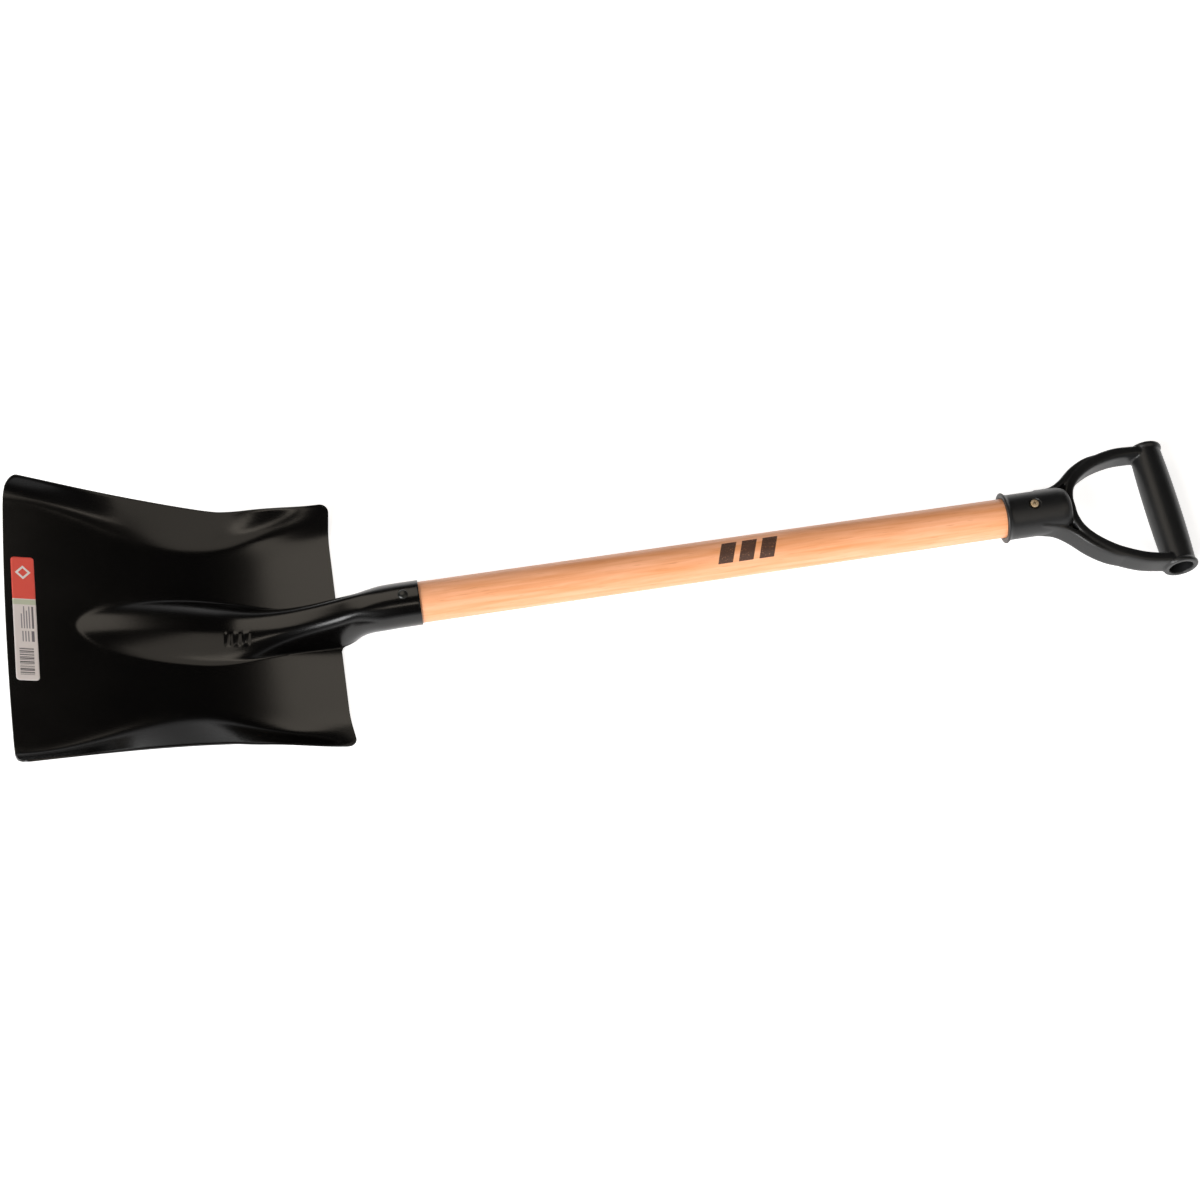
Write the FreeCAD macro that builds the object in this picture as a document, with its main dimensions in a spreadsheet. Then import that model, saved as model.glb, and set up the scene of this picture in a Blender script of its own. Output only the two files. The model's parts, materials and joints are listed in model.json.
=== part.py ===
import FreeCAD, Part
import Sketcher
import math
import os
import re
from FreeCAD import Placement, Rotation, Vector

# Square-mouth shovel with a short wooden shaft and a moulded D-grip, in millimetres.
# Blade frame: X runs from the mouth to the grip, Y across, Z up from the flat pan's upper face.
# Shaft frame: origin at the centre of the socket's mouth, X along the shaft towards the grip.
# The finished object lies on its back, on the rear edge of the blade and on the grip's bar.

os.makedirs("parts", exist_ok=True)
doc = FreeCAD.newDocument("Shovel")

driving_dimensions = [
    # pressed steel blade
    ("sheet_thickness", 1.6, "steel of the blade and socket"),
    ("blade_length", 284.5, "mouth to rear edge"),
    ("mouth_width", 273.0, "across the mouth's corners"),
    ("mouth_bulge", 2.5, "mouth's middle in front of its corners"),
    ("waist_width", 227.5, "across the narrowest place"),
    ("shoulder_width", 243.0, "across the rear corners"),
    ("waist_station", 185.0, "narrowest place, from the mouth"),
    ("corner_radius", 9.0, "mouth and rear corners in plan"),
    ("heel_station", 165.0, "where the pan starts to curve up"),
    ("heel_radius", 289.0, "curve of the rear pan"),
    ("wall_height", 17.0, "side walls above the pan"),
    ("wall_fade_start", 208.0, "side walls start to sink"),
    ("wall_fade_end", 290.0, "side walls have gone"),
    ("crease_mouth", 126.0, "foot of the side wall at the mouth, half width"),
    ("crease_waist", 81.0, "foot of the side wall at its nearest, half width"),
    ("crease_rear", 107.0, "foot of the side wall where it ends, half width"),
    ("crease_station", 157.0, "where the foot of the wall is nearest the middle"),
    ("crease_end", 265.0, "where the foot of the wall stops moving out"),
    ("crease_softness", 8.0, "half width of the bend at the foot"),
    ("wall_run", 7.0, "least run of the side walls, foot to edge"),
    ("wing_height", 11.0, "rise of the rear corners above the rear pan"),
    ("wing_line", 78.0, "foot of the rear corners' rise, half width"),
    ("wing_softness", 10.0, "half width of the bend at the foot of the rear corners"),
    # pressed ridge and neck
    ("ridge_tip", 57.0, "front end of the ridge, from the mouth"),
    ("ridge_height", 12.5, "ridge crest above the pan"),
    ("ridge_width", 62.0, "ridge at its widest"),
    ("neck_width", 44.0, "ridge where it becomes the neck"),
    ("neck_taper", 95.0, "length over which the ridge narrows to the neck"),
    ("ridge_fullness", 1.8, "how full the ridge is across, 1 is a roof and 2 is round"),
    ("neck_fullness", 3.7, "how full the ridge is across where it becomes the neck"),
    ("neck_start", 180.0, "where the crest leaves the pan for the neck"),
    ("neck_fillet", 5.0, "inside corner between the rear edge and the neck"),
    # socket
    ("socket_radius", 20.0, "outside radius of the socket"),
    ("socket_lift", 24.8, "angle of the shaft above the pan, degrees"),
    ("socket_mouth_station", 342.0, "socket mouth from the blade's mouth"),
    ("socket_mouth_height", 78.6, "socket mouth above the pan"),
    ("socket_straight", 15.0, "straight length behind the socket's mouth"),
    ("neck_radius", 165.0, "bend of the neck's centre line"),
    ("neck_turn", 16.5, "turn of the neck, degrees"),
    ("seam_width", 2.4, "open seam along the socket's back"),
    ("rivet_station", 14.0, "rivet, behind the socket's mouth"),
    ("rivet_radius", 2.5, "rivet shank"),
    ("rivet_head_radius", 4.6, "rivet heads"),
    ("rivet_head_height", 1.9, "rivet heads"),
    ("washer_radius", 8.0, "saddle washer under the rear head"),
    ("washer_thickness", 1.2, "saddle washer"),
    # wooden shaft
    ("shaft_socket_radius", 18.35, "shaft at the socket's mouth"),
    ("shaft_middle_radius", 18.0, "straight middle of the shaft"),
    ("shaft_grip_radius", 17.6, "shaft at the grip's collar"),
    ("shaft_tip_radius", 10.5, "tapered tip inside the neck"),
    ("shaft_tip_length", 56.0, "shaft inside the socket"),
    ("shaft_free_length", 527.0, "bare wood between socket and collar"),
    ("shaft_land_start", 205.0, "straight middle starts"),
    ("shaft_land_length", 120.0, "straight middle"),
    # grip
    ("collar_length", 59.0, "collar of the grip"),
    ("collar_radius", 20.4, "outside of the collar"),
    ("collar_lip_radius", 23.0, "flared lip at the collar's mouth"),
    ("collar_lip_length", 4.5, "flared lip"),
    ("bore_depth", 55.0, "depth of the collar's bore"),
    ("bore_clearance", 0.05, "radial room round the shaft"),
    ("grip_bend", 20.0, "where the grip cants back, from the collar's mouth"),
    ("grip_cant", 11.4, "cant of the grip from the shaft, degrees"),
    ("frame_thickness", 22.0, "grip's arms, front to back"),
    ("frame_offset", 3.0, "arms' middle in front of the canted plane"),
    ("frame_edge_radius", 2.5, "rounded edges of the grip's arms"),
    ("bar_distance", 157.0, "bar's axis from the collar's mouth"),
    ("bar_length", 126.0, "bar with its end rings"),
    ("bar_radius", 15.6, "bar at its middle"),
    ("bar_end_radius", 14.2, "bar at its ends"),
    ("bar_ring_width", 4.0, "ring at each end of the bar"),
    ("bar_ring_rise", 1.6, "ring above the bar's ends"),
    ("bar_hollow_radius", 11.0, "hollow through the bar"),
    ("screw_station", 27.0, "screw, from the collar's mouth"),
    ("screw_head_radius", 3.7, "pan head"),
    ("screw_head_height", 2.0, "pan head"),
    ("screw_shank_radius", 1.9, "shank"),
    ("screw_length", 24.0, "under the head"),
    ("recess_radius", 5.6, "recess round the screw head"),
    ("recess_depth", 1.3, "recess below the collar's surface"),
    # paper label
    ("label_length", 118.0, "along the mouth"),
    ("label_width", 19.5, "across"),
    ("label_thickness", 0.15, "paper and glue"),
    ("label_corner", 3.0, "rounded corners"),
    ("label_station", 13.7, "middle of the label, from the mouth"),
    ("label_shift", 4.5, "middle of the label, to the left side"),
    # resting attitude
    ("rest_tilt", 23.713, "pan's slope when the object lies on its back, degrees"),
]

sheet = doc.addObject("Spreadsheet::Sheet", "dimensions")
for row, (alias, value, note) in enumerate(driving_dimensions, start=1):
    sheet.set(f"A{row}", note)
    sheet.set(f"B{row}", str(value))
    sheet.setAlias(f"B{row}", alias)
doc.recompute()


def size(alias):
    return float(sheet.get(alias))


def ease(fraction):
    """Smooth step from 0 to 1."""
    return 0.5 - 0.5 * math.cos(math.pi * min(max(fraction, 0.0), 1.0))


def soft_ramp(distance, slope, softness):
    """Zero before the foot, a straight slope after it, a parabola between."""
    if distance <= -softness:
        return 0.0
    if distance >= softness:
        return slope * distance
    return slope * (distance + softness) ** 2 / (4.0 * softness)


# ---------------------------------------------------------------- blade: pan, walls and ridge

length = size("blade_length")
thickness = size("sheet_thickness")
lift = math.radians(size("socket_lift"))
shaft_along = Vector(math.cos(lift), 0, math.sin(lift))
shaft_front = Vector(-math.sin(lift), 0, math.cos(lift))
socket_mouth = Vector(size("socket_mouth_station"), 0, size("socket_mouth_height"))


def half_width(x):
    waist = size("waist_station")
    narrow = size("waist_width") / 2
    if x < waist:
        return narrow + (size("mouth_width") / 2 - narrow) * ((waist - x) / waist) ** 1.3
    return narrow + (size("shoulder_width") / 2 - narrow) * ((x - waist) / (length - waist)) ** 1.2


def pan_height(x):
    run = max(x - size("heel_station"), 0.0)
    radius = size("heel_radius")
    return radius - math.sqrt(radius ** 2 - run ** 2)


def wall_foot(x):
    nearest = size("crease_station")
    waist = size("crease_waist")
    if x < nearest:
        return size("crease_mouth") + (waist - size("crease_mouth")) * ease(x / nearest)
    return waist + (size("crease_rear") - waist) * ease((x - nearest) / (size("crease_end") - nearest))


def wall_rise(x, y):
    start, end = size("wall_fade_start"), size("wall_fade_end")
    height = size("wall_height") * (1 - ease((x - start) / (end - start)))
    run = max(half_width(x) - wall_foot(x), size("wall_run"))
    front = soft_ramp(abs(y) - wall_foot(x), height / run, size("crease_softness"))
    wing = size("wing_height") * ease((x - start + 22) / (length - start + 22))
    wing_foot = size("wing_line") + 0.15 * (x - start)
    rear = soft_ramp(abs(y) - wing_foot, wing / (half_width(x) - wing_foot), size("wing_softness"))
    return front + rear


def neck_point(distance):
    """Centre line of socket and neck: point and direction, a distance behind the socket's mouth."""
    straight = size("socket_straight")
    radius = size("neck_radius")
    if distance <= straight:
        return socket_mouth - shaft_along * distance, lift
    turn = (distance - straight) / radius
    centre = socket_mouth - shaft_along * straight - shaft_front * radius
    angle = lift + turn
    return centre + Vector(-math.sin(angle), 0, math.cos(angle)) * radius, angle


def crest_height(x):
    """Height of the ridge's crest above the flat pan, along the middle."""
    tip, neck = size("ridge_tip"), size("neck_start")
    top = size("ridge_height")
    if x <= tip:
        return 0.0
    if x <= neck:
        return top * (1 - ((neck - x) / (neck - tip)) ** 2) + pan_height(x)
    end, angle = neck_point(size("socket_straight") + math.radians(size("neck_turn")) * size("neck_radius"))
    cover = size("socket_radius") - 0.6
    end_x = end.x - math.sin(angle) * cover
    end_z = end.z + math.cos(angle) * cover
    start_z = top + pan_height(neck)
    start_slope = (neck - size("heel_station")) / size("heel_radius")
    span = end_x - neck
    step = (x - neck) / span
    if step > 1:
        return end_z + math.tan(angle) * (x - end_x) * 0.93
    blend = (2 * step ** 3 - 3 * step ** 2 + 1) * start_z + (3 * step ** 2 - 2 * step ** 3) * end_z
    blend += (step ** 3 - 2 * step ** 2 + step) * span * start_slope
    return blend + (step ** 3 - step ** 2) * span * math.tan(angle)


def ridge_half_width(x):
    widest, tip = size("heel_station"), size("ridge_tip")
    full, neck = size("ridge_width") / 2, size("neck_width") / 2
    if x <= tip:
        return 0.0
    if x <= widest:
        return full * math.sqrt(1 - ((widest - x) / (widest - tip)) ** 2)
    return full + (neck - full) * ease((x - widest) / size("neck_taper"))


def ridge_rise(x, y):
    width = ridge_half_width(x)
    height = crest_height(x) - pan_height(x)
    if width < 0.5 or height <= 0:
        return 0.0
    grown = ease((x - size("neck_start")) / size("neck_taper"))
    fullness = size("ridge_fullness") + (size("neck_fullness") - size("ridge_fullness")) * grown
    rise = height * (1 - (abs(y) / width) ** fullness)
    foot = min(2.2, 0.45 * height)
    return soft_ramp(rise, 1.0, foot)


def blade_surface(x, y):
    return Vector(x, y, pan_height(x) + wall_rise(x, y) + ridge_rise(x, y))


def across_stations(x):
    """Places across the blade that follow the ridge, the foot of the walls and the edge."""
    ridge = max(ridge_half_width(x), 13.0) + 3.0
    foot, soft = wall_foot(x), size("crease_softness")
    outer = max(half_width(x) + 10.0, foot + soft + 6.0)
    half = [ridge * step / 9 for step in range(10)]
    half += [ridge + (foot - soft - ridge) * step / 4 for step in range(1, 5)]
    half += [foot - soft + 2 * soft * step / 5 for step in range(1, 6)]
    half += [foot + soft + (outer - foot - soft) * step / 3 for step in range(1, 4)]
    return [-y for y in reversed(half[1:])] + half


def blade_normal(x, y):
    step = 0.4
    along = blade_surface(x + step, y) - blade_surface(x - step, y)
    across = blade_surface(x, y + step) - blade_surface(x, y - step)
    return along.cross(across).normalize()


def interpolated_surface(grid):
    surface = Part.BSplineSurface()
    surface.interpolate(grid)
    return surface


def patches(surface, count=4):
    """The surface as count by count faces, because one face with this many spans is measured poorly."""
    def breaks(knots):
        return [knots[round(step * (len(knots) - 1) / count)] for step in range(count + 1)]

    faces = []
    lengthwise, crosswise = breaks(surface.getUKnots()), breaks(surface.getVKnots())
    for start, end in zip(lengthwise, lengthwise[1:]):
        for right, left in zip(crosswise, crosswise[1:]):
            patch = surface.copy()
            patch.segment(start, end, right, left)
            faces.append(patch.toShape())
    return faces


def blade_sheet():
    """The pressed sheet as a closed solid, larger than the blade's outline on every side."""
    stations = [-8 + (length + 30) * step / 46 for step in range(47)]
    upper = [[blade_surface(x, y) for y in across_stations(x)] for x in stations]
    lower = [[blade_surface(x, y) - blade_normal(x, y) * thickness for y in across_stations(x)]
             for x in stations]
    skins = [interpolated_surface(upper), interpolated_surface(lower)]
    rims = [skin.toShape().Edges for skin in skins]
    faces = [Part.makeRuledSurface(top, bottom) for top, bottom in zip(*rims)]
    for skin in skins:
        faces += patches(skin)
    shell = Part.Compound(faces)
    shell.sewShape()
    solid = Part.makeSolid(shell.Shells[0] if shell.ShapeType != "Shell" else shell)
    if solid.Volume < 0:
        solid.reverse()
    return solid


def blade_outline():
    """Plan of the blade with its tongue under the neck, as a face."""
    fillet = size("neck_fillet")
    tongue_end = length + fillet + 1
    tongue = size("neck_width") / 2 + 0.5
    corner = size("corner_radius")
    side_points = [Vector(x, half_width(x), 0)
                   for x in [corner + (length - 2 * corner) * step / 10 for step in range(11)]]
    side = Part.BSplineCurve()
    side.interpolate(side_points)
    edges = [side.toShape()]
    front_corner = Vector(0, half_width(0), 0)
    rear_corner = Vector(length, half_width(length), 0)
    diagonal = corner * (1 - math.sqrt(0.5))
    front_flat = Vector(0, half_width(0) - corner, 0)
    rear_flat = Vector(length, half_width(length) - corner, 0)
    edges.append(Part.Arc(side_points[0], front_corner + Vector(diagonal, -diagonal, 0), front_flat).toShape())
    edges.append(Part.Arc(side_points[-1], rear_corner + Vector(-diagonal, -diagonal, 0), rear_flat).toShape())
    fillet_start = Vector(length, tongue + fillet, 0)
    fillet_end = Vector(length + fillet, tongue, 0)
    inside = fillet * math.sqrt(0.5)
    fillet_middle = Vector(length + fillet - inside, tongue + fillet - inside, 0)
    edges.append(Part.LineSegment(rear_flat, fillet_start).toShape())
    edges.append(Part.Arc(fillet_start, fillet_middle, fillet_end).toShape())
    edges.append(Part.LineSegment(fillet_end, Vector(tongue_end, tongue, 0)).toShape())
    mirrored = [edge.mirror(Vector(0, 0, 0), Vector(0, 1, 0)) for edge in edges]
    mouth_middle = Vector(-size("mouth_bulge"), 0, 0)
    ends = [Part.Arc(front_flat, mouth_middle, Vector(0, -front_flat.y, 0)).toShape()]
    ends.append(Part.LineSegment(Vector(tongue_end, tongue, 0), Vector(tongue_end, -tongue, 0)).toShape())
    wire = Part.Wire(Part.__sortEdges__(edges + mirrored + ends))
    return Part.Face(wire)


def neck_pipe(radius, behind, ahead=0.0):
    """Round bar along the neck's centre line, from ahead of the socket's mouth to behind it."""
    start = socket_mouth + shaft_along * ahead
    bend, angle = neck_point(size("socket_straight"))
    middle, angle = neck_point((size("socket_straight") + behind) / 2)
    end, angle = neck_point(behind)
    path = Part.Wire([Part.LineSegment(start, bend).toShape(), Part.Arc(bend, middle, end).toShape()])
    ring = Part.Wire([Part.makeCircle(radius, start, shaft_along)])
    return path.makePipeShell([ring], True, True)


def tilted_box(start, end, half_y, low, high):
    """Box in the shaft frame, from start to end along the shaft, placed in the blade frame."""
    box = Part.makeBox(end - start, 2 * half_y, high - low, Vector(start, -half_y, low))
    box.Placement = shaft_placement
    return box


shaft_placement = Placement(socket_mouth, Rotation(Vector(0, 1, 0), -size("socket_lift")))


def blade_shape():
    plan = blade_outline()
    plan.translate(Vector(0, 0, -60))
    trimmed = blade_sheet().common(plan.extrude(Vector(0, 0, 220)))
    reach = size("socket_straight") + math.radians(size("neck_turn")) * size("neck_radius")
    outer = size("socket_radius")
    tube = neck_pipe(outer, reach)
    hollow = neck_pipe(outer - thickness, reach + 2.0, 5.0)
    # the tongue below the neck's middle is folded round the shaft, so nothing hangs under the tube
    below = tilted_box(-34, 5, outer + 12, -80, -outer + 0.01)
    joined = trimmed.cut(below).fuse(tube).cut(hollow)
    seam = tilted_box(-90, 5, size("seam_width") / 2, -60, -outer / 2)
    joined = joined.cut(seam)
    hole = Part.makeCylinder(size("rivet_radius"), 80, Vector(-size("rivet_station"), 0, -40), Vector(0, 0, 1))
    hole.Placement = shaft_placement.multiply(hole.Placement)
    joined = joined.cut(hole)
    solids = sorted(joined.Solids, key=lambda solid: solid.Volume)
    print("blade solids", [round(solid.Volume, 1) for solid in solids])
    return solids[-1]


# ---------------------------------------------------------------- helpers for bodies

def new_body(label):
    body = doc.addObject("PartDesign::Body", label)
    body.Label = label
    return body


def plane_of(body, role):
    for feature in body.Origin.OriginFeatures:
        if feature.Role == role:
            return feature
    raise ValueError(role)


def new_sketch(body, name, role="XY_Plane", offset=None):
    sketch = body.newObject("Sketcher::SketchObject", name)
    sketch.AttachmentSupport = [(plane_of(body, role), "")]
    sketch.MapMode = "FlatFace"
    if offset is not None:
        sketch.AttachmentOffset = offset
    return sketch


def add_polygon(sketch, points):
    """Closed outline of straight lines with its corners joined and every point dimensioned."""
    count = len(points)
    for index in range(count):
        start, end = points[index], points[(index + 1) % count]
        sketch.addGeometry(Part.LineSegment(Vector(*start[:2], 0), Vector(*end[:2], 0)), False)
    for index in range(count):
        sketch.addConstraint(Sketcher.Constraint("Coincident", index, 2, (index + 1) % count, 1))
    return count


def bind_point(sketch, geometry, across=None, up=None):
    """Fix the start point of a line to expressions of the sheet, measured from the sketch's origin."""
    for kind, expression in (("DistanceX", across), ("DistanceY", up)):
        if expression is None:
            continue
        point = sketch.Geometry[geometry].StartPoint
        value = point.x if kind == "DistanceX" else point.y
        if abs(value) < 1e-6:
            on_axis = -2 if kind == "DistanceX" else -1
            sketch.addConstraint(Sketcher.Constraint("PointOnObject", geometry, 1, on_axis))
            continue
        if value > 0:
            index = sketch.addConstraint(Sketcher.Constraint(kind, -1, 1, geometry, 1, value))
            sketch.setExpression(f"Constraints[{index}]", expression)
        else:
            index = sketch.addConstraint(Sketcher.Constraint(kind, geometry, 1, -1, 1, -value))
            sketch.setExpression(f"Constraints[{index}]", f"-1 * ({expression})")


def profile_sketch(body, name, points, role="XY_Plane", offset=None):
    """Sketch of a closed outline whose points are pairs of expressions over the sheet."""
    sketch = new_sketch(body, name, role, offset)
    values = [(evaluate(across), evaluate(up)) for across, up in points]
    add_polygon(sketch, values)
    for index, (across, up) in enumerate(points):
        bind_point(sketch, index, full_expression(across), full_expression(up))
    return sketch


aliases = [alias for alias, value, note in driving_dimensions]


def full_expression(words):
    """Put the sheet's name in front of each alias in a short expression."""
    return re.sub("[a-z_]{4,}", lambda found: "dimensions." + found.group(), words)


def evaluate(words):
    """Value of a short expression made of aliases, numbers, plus, minus and one divisor per term."""
    total, sign = 0.0, 1.0
    for part in words.split():
        if part in "+-":
            sign = 1.0 if part == "+" else -1.0
            continue
        name, divisor = (part.split("/") + ["1"])[:2]
        total += sign * (size(name) if name in aliases else float(name)) / float(divisor)
    return total


def revolve(body, name, sketch, axis, kind="PartDesign::Revolution"):
    feature = body.newObject(kind, name)
    feature.Profile = sketch
    feature.ReferenceAxis = (sketch, [axis])
    feature.Angle = 360
    sketch.Visibility = False
    return feature


def cut_hole(body, name, radius_alias, centre, depth_expression, offset_height):
    """Round pocket straight down from a plane above the piece, in the shaft frame."""
    place = Placement(Vector(centre[0], centre[1], offset_height), Rotation())
    sketch = new_sketch(body, name + "_circle", "XY_Plane", place)
    sketch.addGeometry(Part.Circle(Vector(0, 0, 0), Vector(0, 0, 1), size(radius_alias)), False)
    sketch.addConstraint(Sketcher.Constraint("Coincident", 0, 3, -1, 1))
    index = sketch.addConstraint(Sketcher.Constraint("Radius", 0, size(radius_alias)))
    sketch.setExpression(f"Constraints[{index}]", f"dimensions.{radius_alias}")
    pocket = body.newObject("PartDesign::Pocket", name)
    pocket.Profile = sketch
    pocket.Length = 10
    pocket.setExpression("Length", depth_expression)
    sketch.Visibility = False
    return pocket


# ---------------------------------------------------------------- wooden shaft

def shaft_body():
    body = new_body("shaft")
    points = [
        ("0 - shaft_tip_length", "0"),
        ("0 - shaft_tip_length", "shaft_tip_radius"),
        ("0 - rivet_station - 4", "shaft_socket_radius"),
        ("0", "shaft_socket_radius"),
        ("shaft_land_start", "shaft_middle_radius"),
        ("shaft_land_start + shaft_land_length", "shaft_middle_radius"),
        ("shaft_free_length", "shaft_grip_radius"),
        ("shaft_free_length + bore_depth", "shaft_grip_radius"),
        ("shaft_free_length + bore_depth", "0"),
    ]
    sketch = profile_sketch(body, "shaft_profile", points)
    revolve(body, "turned_shaft", sketch, "H_Axis")
    doc.recompute()
    turned = body.Shape.Volume
    cut_hole(body, "rivet_hole", "rivet_radius", (-size("rivet_station"), 0), "60", 30)
    doc.recompute()
    cut_hole(body, "screw_hole", "screw_shank_radius",
             (size("shaft_free_length") + size("screw_station"), 0),
             "30 - (dimensions.collar_radius - dimensions.recess_depth) + dimensions.screw_length", 30)
    doc.recompute()
    print("shaft", round(turned), "->", round(body.Shape.Volume))
    return body


# ---------------------------------------------------------------- moulded grip

def grip_outline(points):
    """Closed smooth outline through half an outline's points and their mirror images."""
    mirrored = [Vector(x, -y, 0) for x, y in reversed(points)]
    return [Vector(x, y, 0) for x, y in points], mirrored


def grip_body():
    body = new_body("grip")
    cant = size("grip_cant")
    bend, bar = size("grip_bend"), size("bar_distance")
    half_bar = size("bar_length") / 2
    low = size("frame_offset") - size("frame_thickness") / 2
    turn = Rotation(Vector(0, 1, 0), cant)
    canted = Placement(Vector(bend, 0, 0), turn)

    # D-shaped frame: outer outline and hand opening, in the canted plane, measured from the bend
    outer = [(18.0, 19.5), (27.0, 21.5), (38.0, 28.5), (52.0, 40.5), (68.0, 50.0), (88.0, 57.0),
             (112.0, 60.5), (bar - bend, half_bar - 2.0)]
    inner = [(47.0, 10.0), (51.0, 20.0), (61.0, 31.0), (78.0, 41.0), (100.0, 48.5), (bar - bend, 51.5)]
    frame_place = canted.multiply(Placement(Vector(0, 0, low), Rotation()))
    sketch = new_sketch(body, "frame_outline", "XY_Plane", frame_place)
    for points in (outer, inner):
        right, left = grip_outline(points)
        upper = Part.BSplineCurve()
        upper.interpolate(right)
        lower = Part.BSplineCurve()
        lower.interpolate(left)
        front = Part.LineSegment(left[-1], right[0])
        rear = Part.LineSegment(right[-1], left[0])
        sketch.addGeometry([upper, rear, lower, front], False)
    frame = body.newObject("PartDesign::Pad", "frame")
    frame.Profile = sketch
    frame.setExpression("Length", "dimensions.frame_thickness")
    sketch.Visibility = False
    doc.recompute()
    print("grip frame", round(body.Shape.Volume))

    long_edges = [f"Edge{index + 1}" for index, edge in enumerate(frame.Shape.Edges)
                  if edge.Curve.TypeId == "Part::GeomBSplineCurve"]
    rounding = body.newObject("PartDesign::Fillet", "frame_rounding")
    rounding.Base = (frame, long_edges)
    rounding.Radius = size("frame_edge_radius")
    rounding.setExpression("Radius", "dimensions.frame_edge_radius")
    doc.recompute()
    print("grip rounding", round(body.Shape.Volume), len(long_edges), rounding.State)

    collar = profile_sketch(body, "collar_profile", [
        ("0", "0"),
        ("0", "collar_lip_radius"),
        ("collar_lip_length", "collar_radius"),
        ("collar_length", "collar_radius"),
        ("collar_length + 3", "collar_radius - 4"),
        ("collar_length + 3", "0"),
    ])
    revolve(body, "collar", collar, "H_Axis")
    doc.recompute()
    print("grip collar", round(body.Shape.Volume))

    # crowned bar, turned about its own length
    bar_place = canted.multiply(Placement(Vector(bar - bend, 0, size("frame_offset")), Rotation()))
    sketch = new_sketch(body, "bar_profile", "XY_Plane", bar_place)
    end, middle = size("bar_end_radius"), size("bar_radius")
    ring = size("bar_ring_width")
    crown = Part.Arc(Vector(end, -half_bar + ring, 0), Vector(middle, 0, 0), Vector(end, half_bar - ring, 0))
    rim = end + size("bar_ring_rise")
    corners = [(end, half_bar - ring), (rim, half_bar - ring), (rim, half_bar), (0, half_bar),
               (0, -half_bar), (rim, -half_bar), (rim, -half_bar + ring), (end, -half_bar + ring)]
    sketch.addGeometry(crown, False)
    for start, stop in zip(corners, corners[1:]):
        sketch.addGeometry(Part.LineSegment(Vector(*start, 0), Vector(*stop, 0)), False)
    revolve(body, "bar", sketch, "V_Axis")
    doc.recompute()
    print("grip bar", round(body.Shape.Volume))

    bore = profile_sketch(body, "bore_profile", [
        ("0 - 5", "0"),
        ("0 - 5", "shaft_grip_radius + bore_clearance"),
        ("bore_depth", "shaft_grip_radius + bore_clearance"),
        ("bore_depth", "0"),
    ])
    revolve(body, "bore", bore, "H_Axis", "PartDesign::Groove")
    doc.recompute()
    print("grip bore", round(body.Shape.Volume))

    hollow = profile_sketch(body, "hollow_profile", [
        ("0", "0 - bar_length/2 - 2"),
        ("bar_hollow_radius", "0 - bar_length/2 - 2"),
        ("bar_hollow_radius", "bar_length/2 + 2"),
        ("0", "bar_length/2 + 2"),
    ], offset=bar_place)
    revolve(body, "bar_hollow", hollow, "V_Axis", "PartDesign::Groove")
    doc.recompute()
    print("grip hollow", round(body.Shape.Volume))

    station = (size("screw_station"), 0)
    cut_hole(body, "screw_recess", "recess_radius", station,
             "30 - dimensions.collar_radius + dimensions.recess_depth", 30)
    doc.recompute()
    cut_hole(body, "screw_way", "screw_shank_radius", station, "18", 30)
    doc.recompute()
    print("grip", round(body.Shape.Volume))
    return body


# ---------------------------------------------------------------- fasteners and label

def turned_along_z(label, points, station, height):
    """Small turned piece whose axis is square to the shaft, on its front."""
    body = new_body(label)
    stand = Placement(Vector(station, 0, height), Rotation(Vector(1, 0, 0), 90))
    sketch = profile_sketch(body, label + "_profile", points, "XY_Plane", stand)
    revolve(body, label + "_turned", sketch, "V_Axis")
    doc.recompute()
    print(label, round(body.Shape.Volume, 1))
    return body


def rivet_body():
    """Round-head rivet: front head on the socket, rear head on the saddle washer."""
    return turned_along_z("socket_rivet", [
        ("0", "socket_radius + rivet_head_height"),
        ("rivet_head_radius/2", "socket_radius + rivet_head_height - 0.25"),
        ("rivet_head_radius - 0.6", "socket_radius + rivet_head_height/2"),
        ("rivet_head_radius", "socket_radius"),
        ("rivet_radius", "socket_radius"),
        ("rivet_radius", "0 - socket_radius - washer_thickness"),
        ("rivet_head_radius", "0 - socket_radius - washer_thickness"),
        ("rivet_head_radius - 0.6", "0 - socket_radius - washer_thickness - rivet_head_height/2"),
        ("rivet_head_radius/2", "0 - socket_radius - washer_thickness - rivet_head_height + 0.25"),
        ("0", "0 - socket_radius - washer_thickness - rivet_head_height"),
    ], -size("rivet_station"), 0)


def screw_body():
    """Pan-head screw with its head in the collar's recess and its point in the wood."""
    return turned_along_z("grip_screw", [
        ("0", "collar_radius - recess_depth + screw_head_height"),
        ("screw_head_radius - 1.4", "collar_radius - recess_depth + screw_head_height - 0.2"),
        ("screw_head_radius", "collar_radius - recess_depth + 0.9"),
        ("screw_head_radius", "collar_radius - recess_depth"),
        ("screw_shank_radius", "collar_radius - recess_depth"),
        ("screw_shank_radius", "collar_radius - recess_depth - screw_length + 4"),
        ("0", "collar_radius - recess_depth - screw_length"),
    ], size("shaft_free_length") + size("screw_station"), 0)


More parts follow.
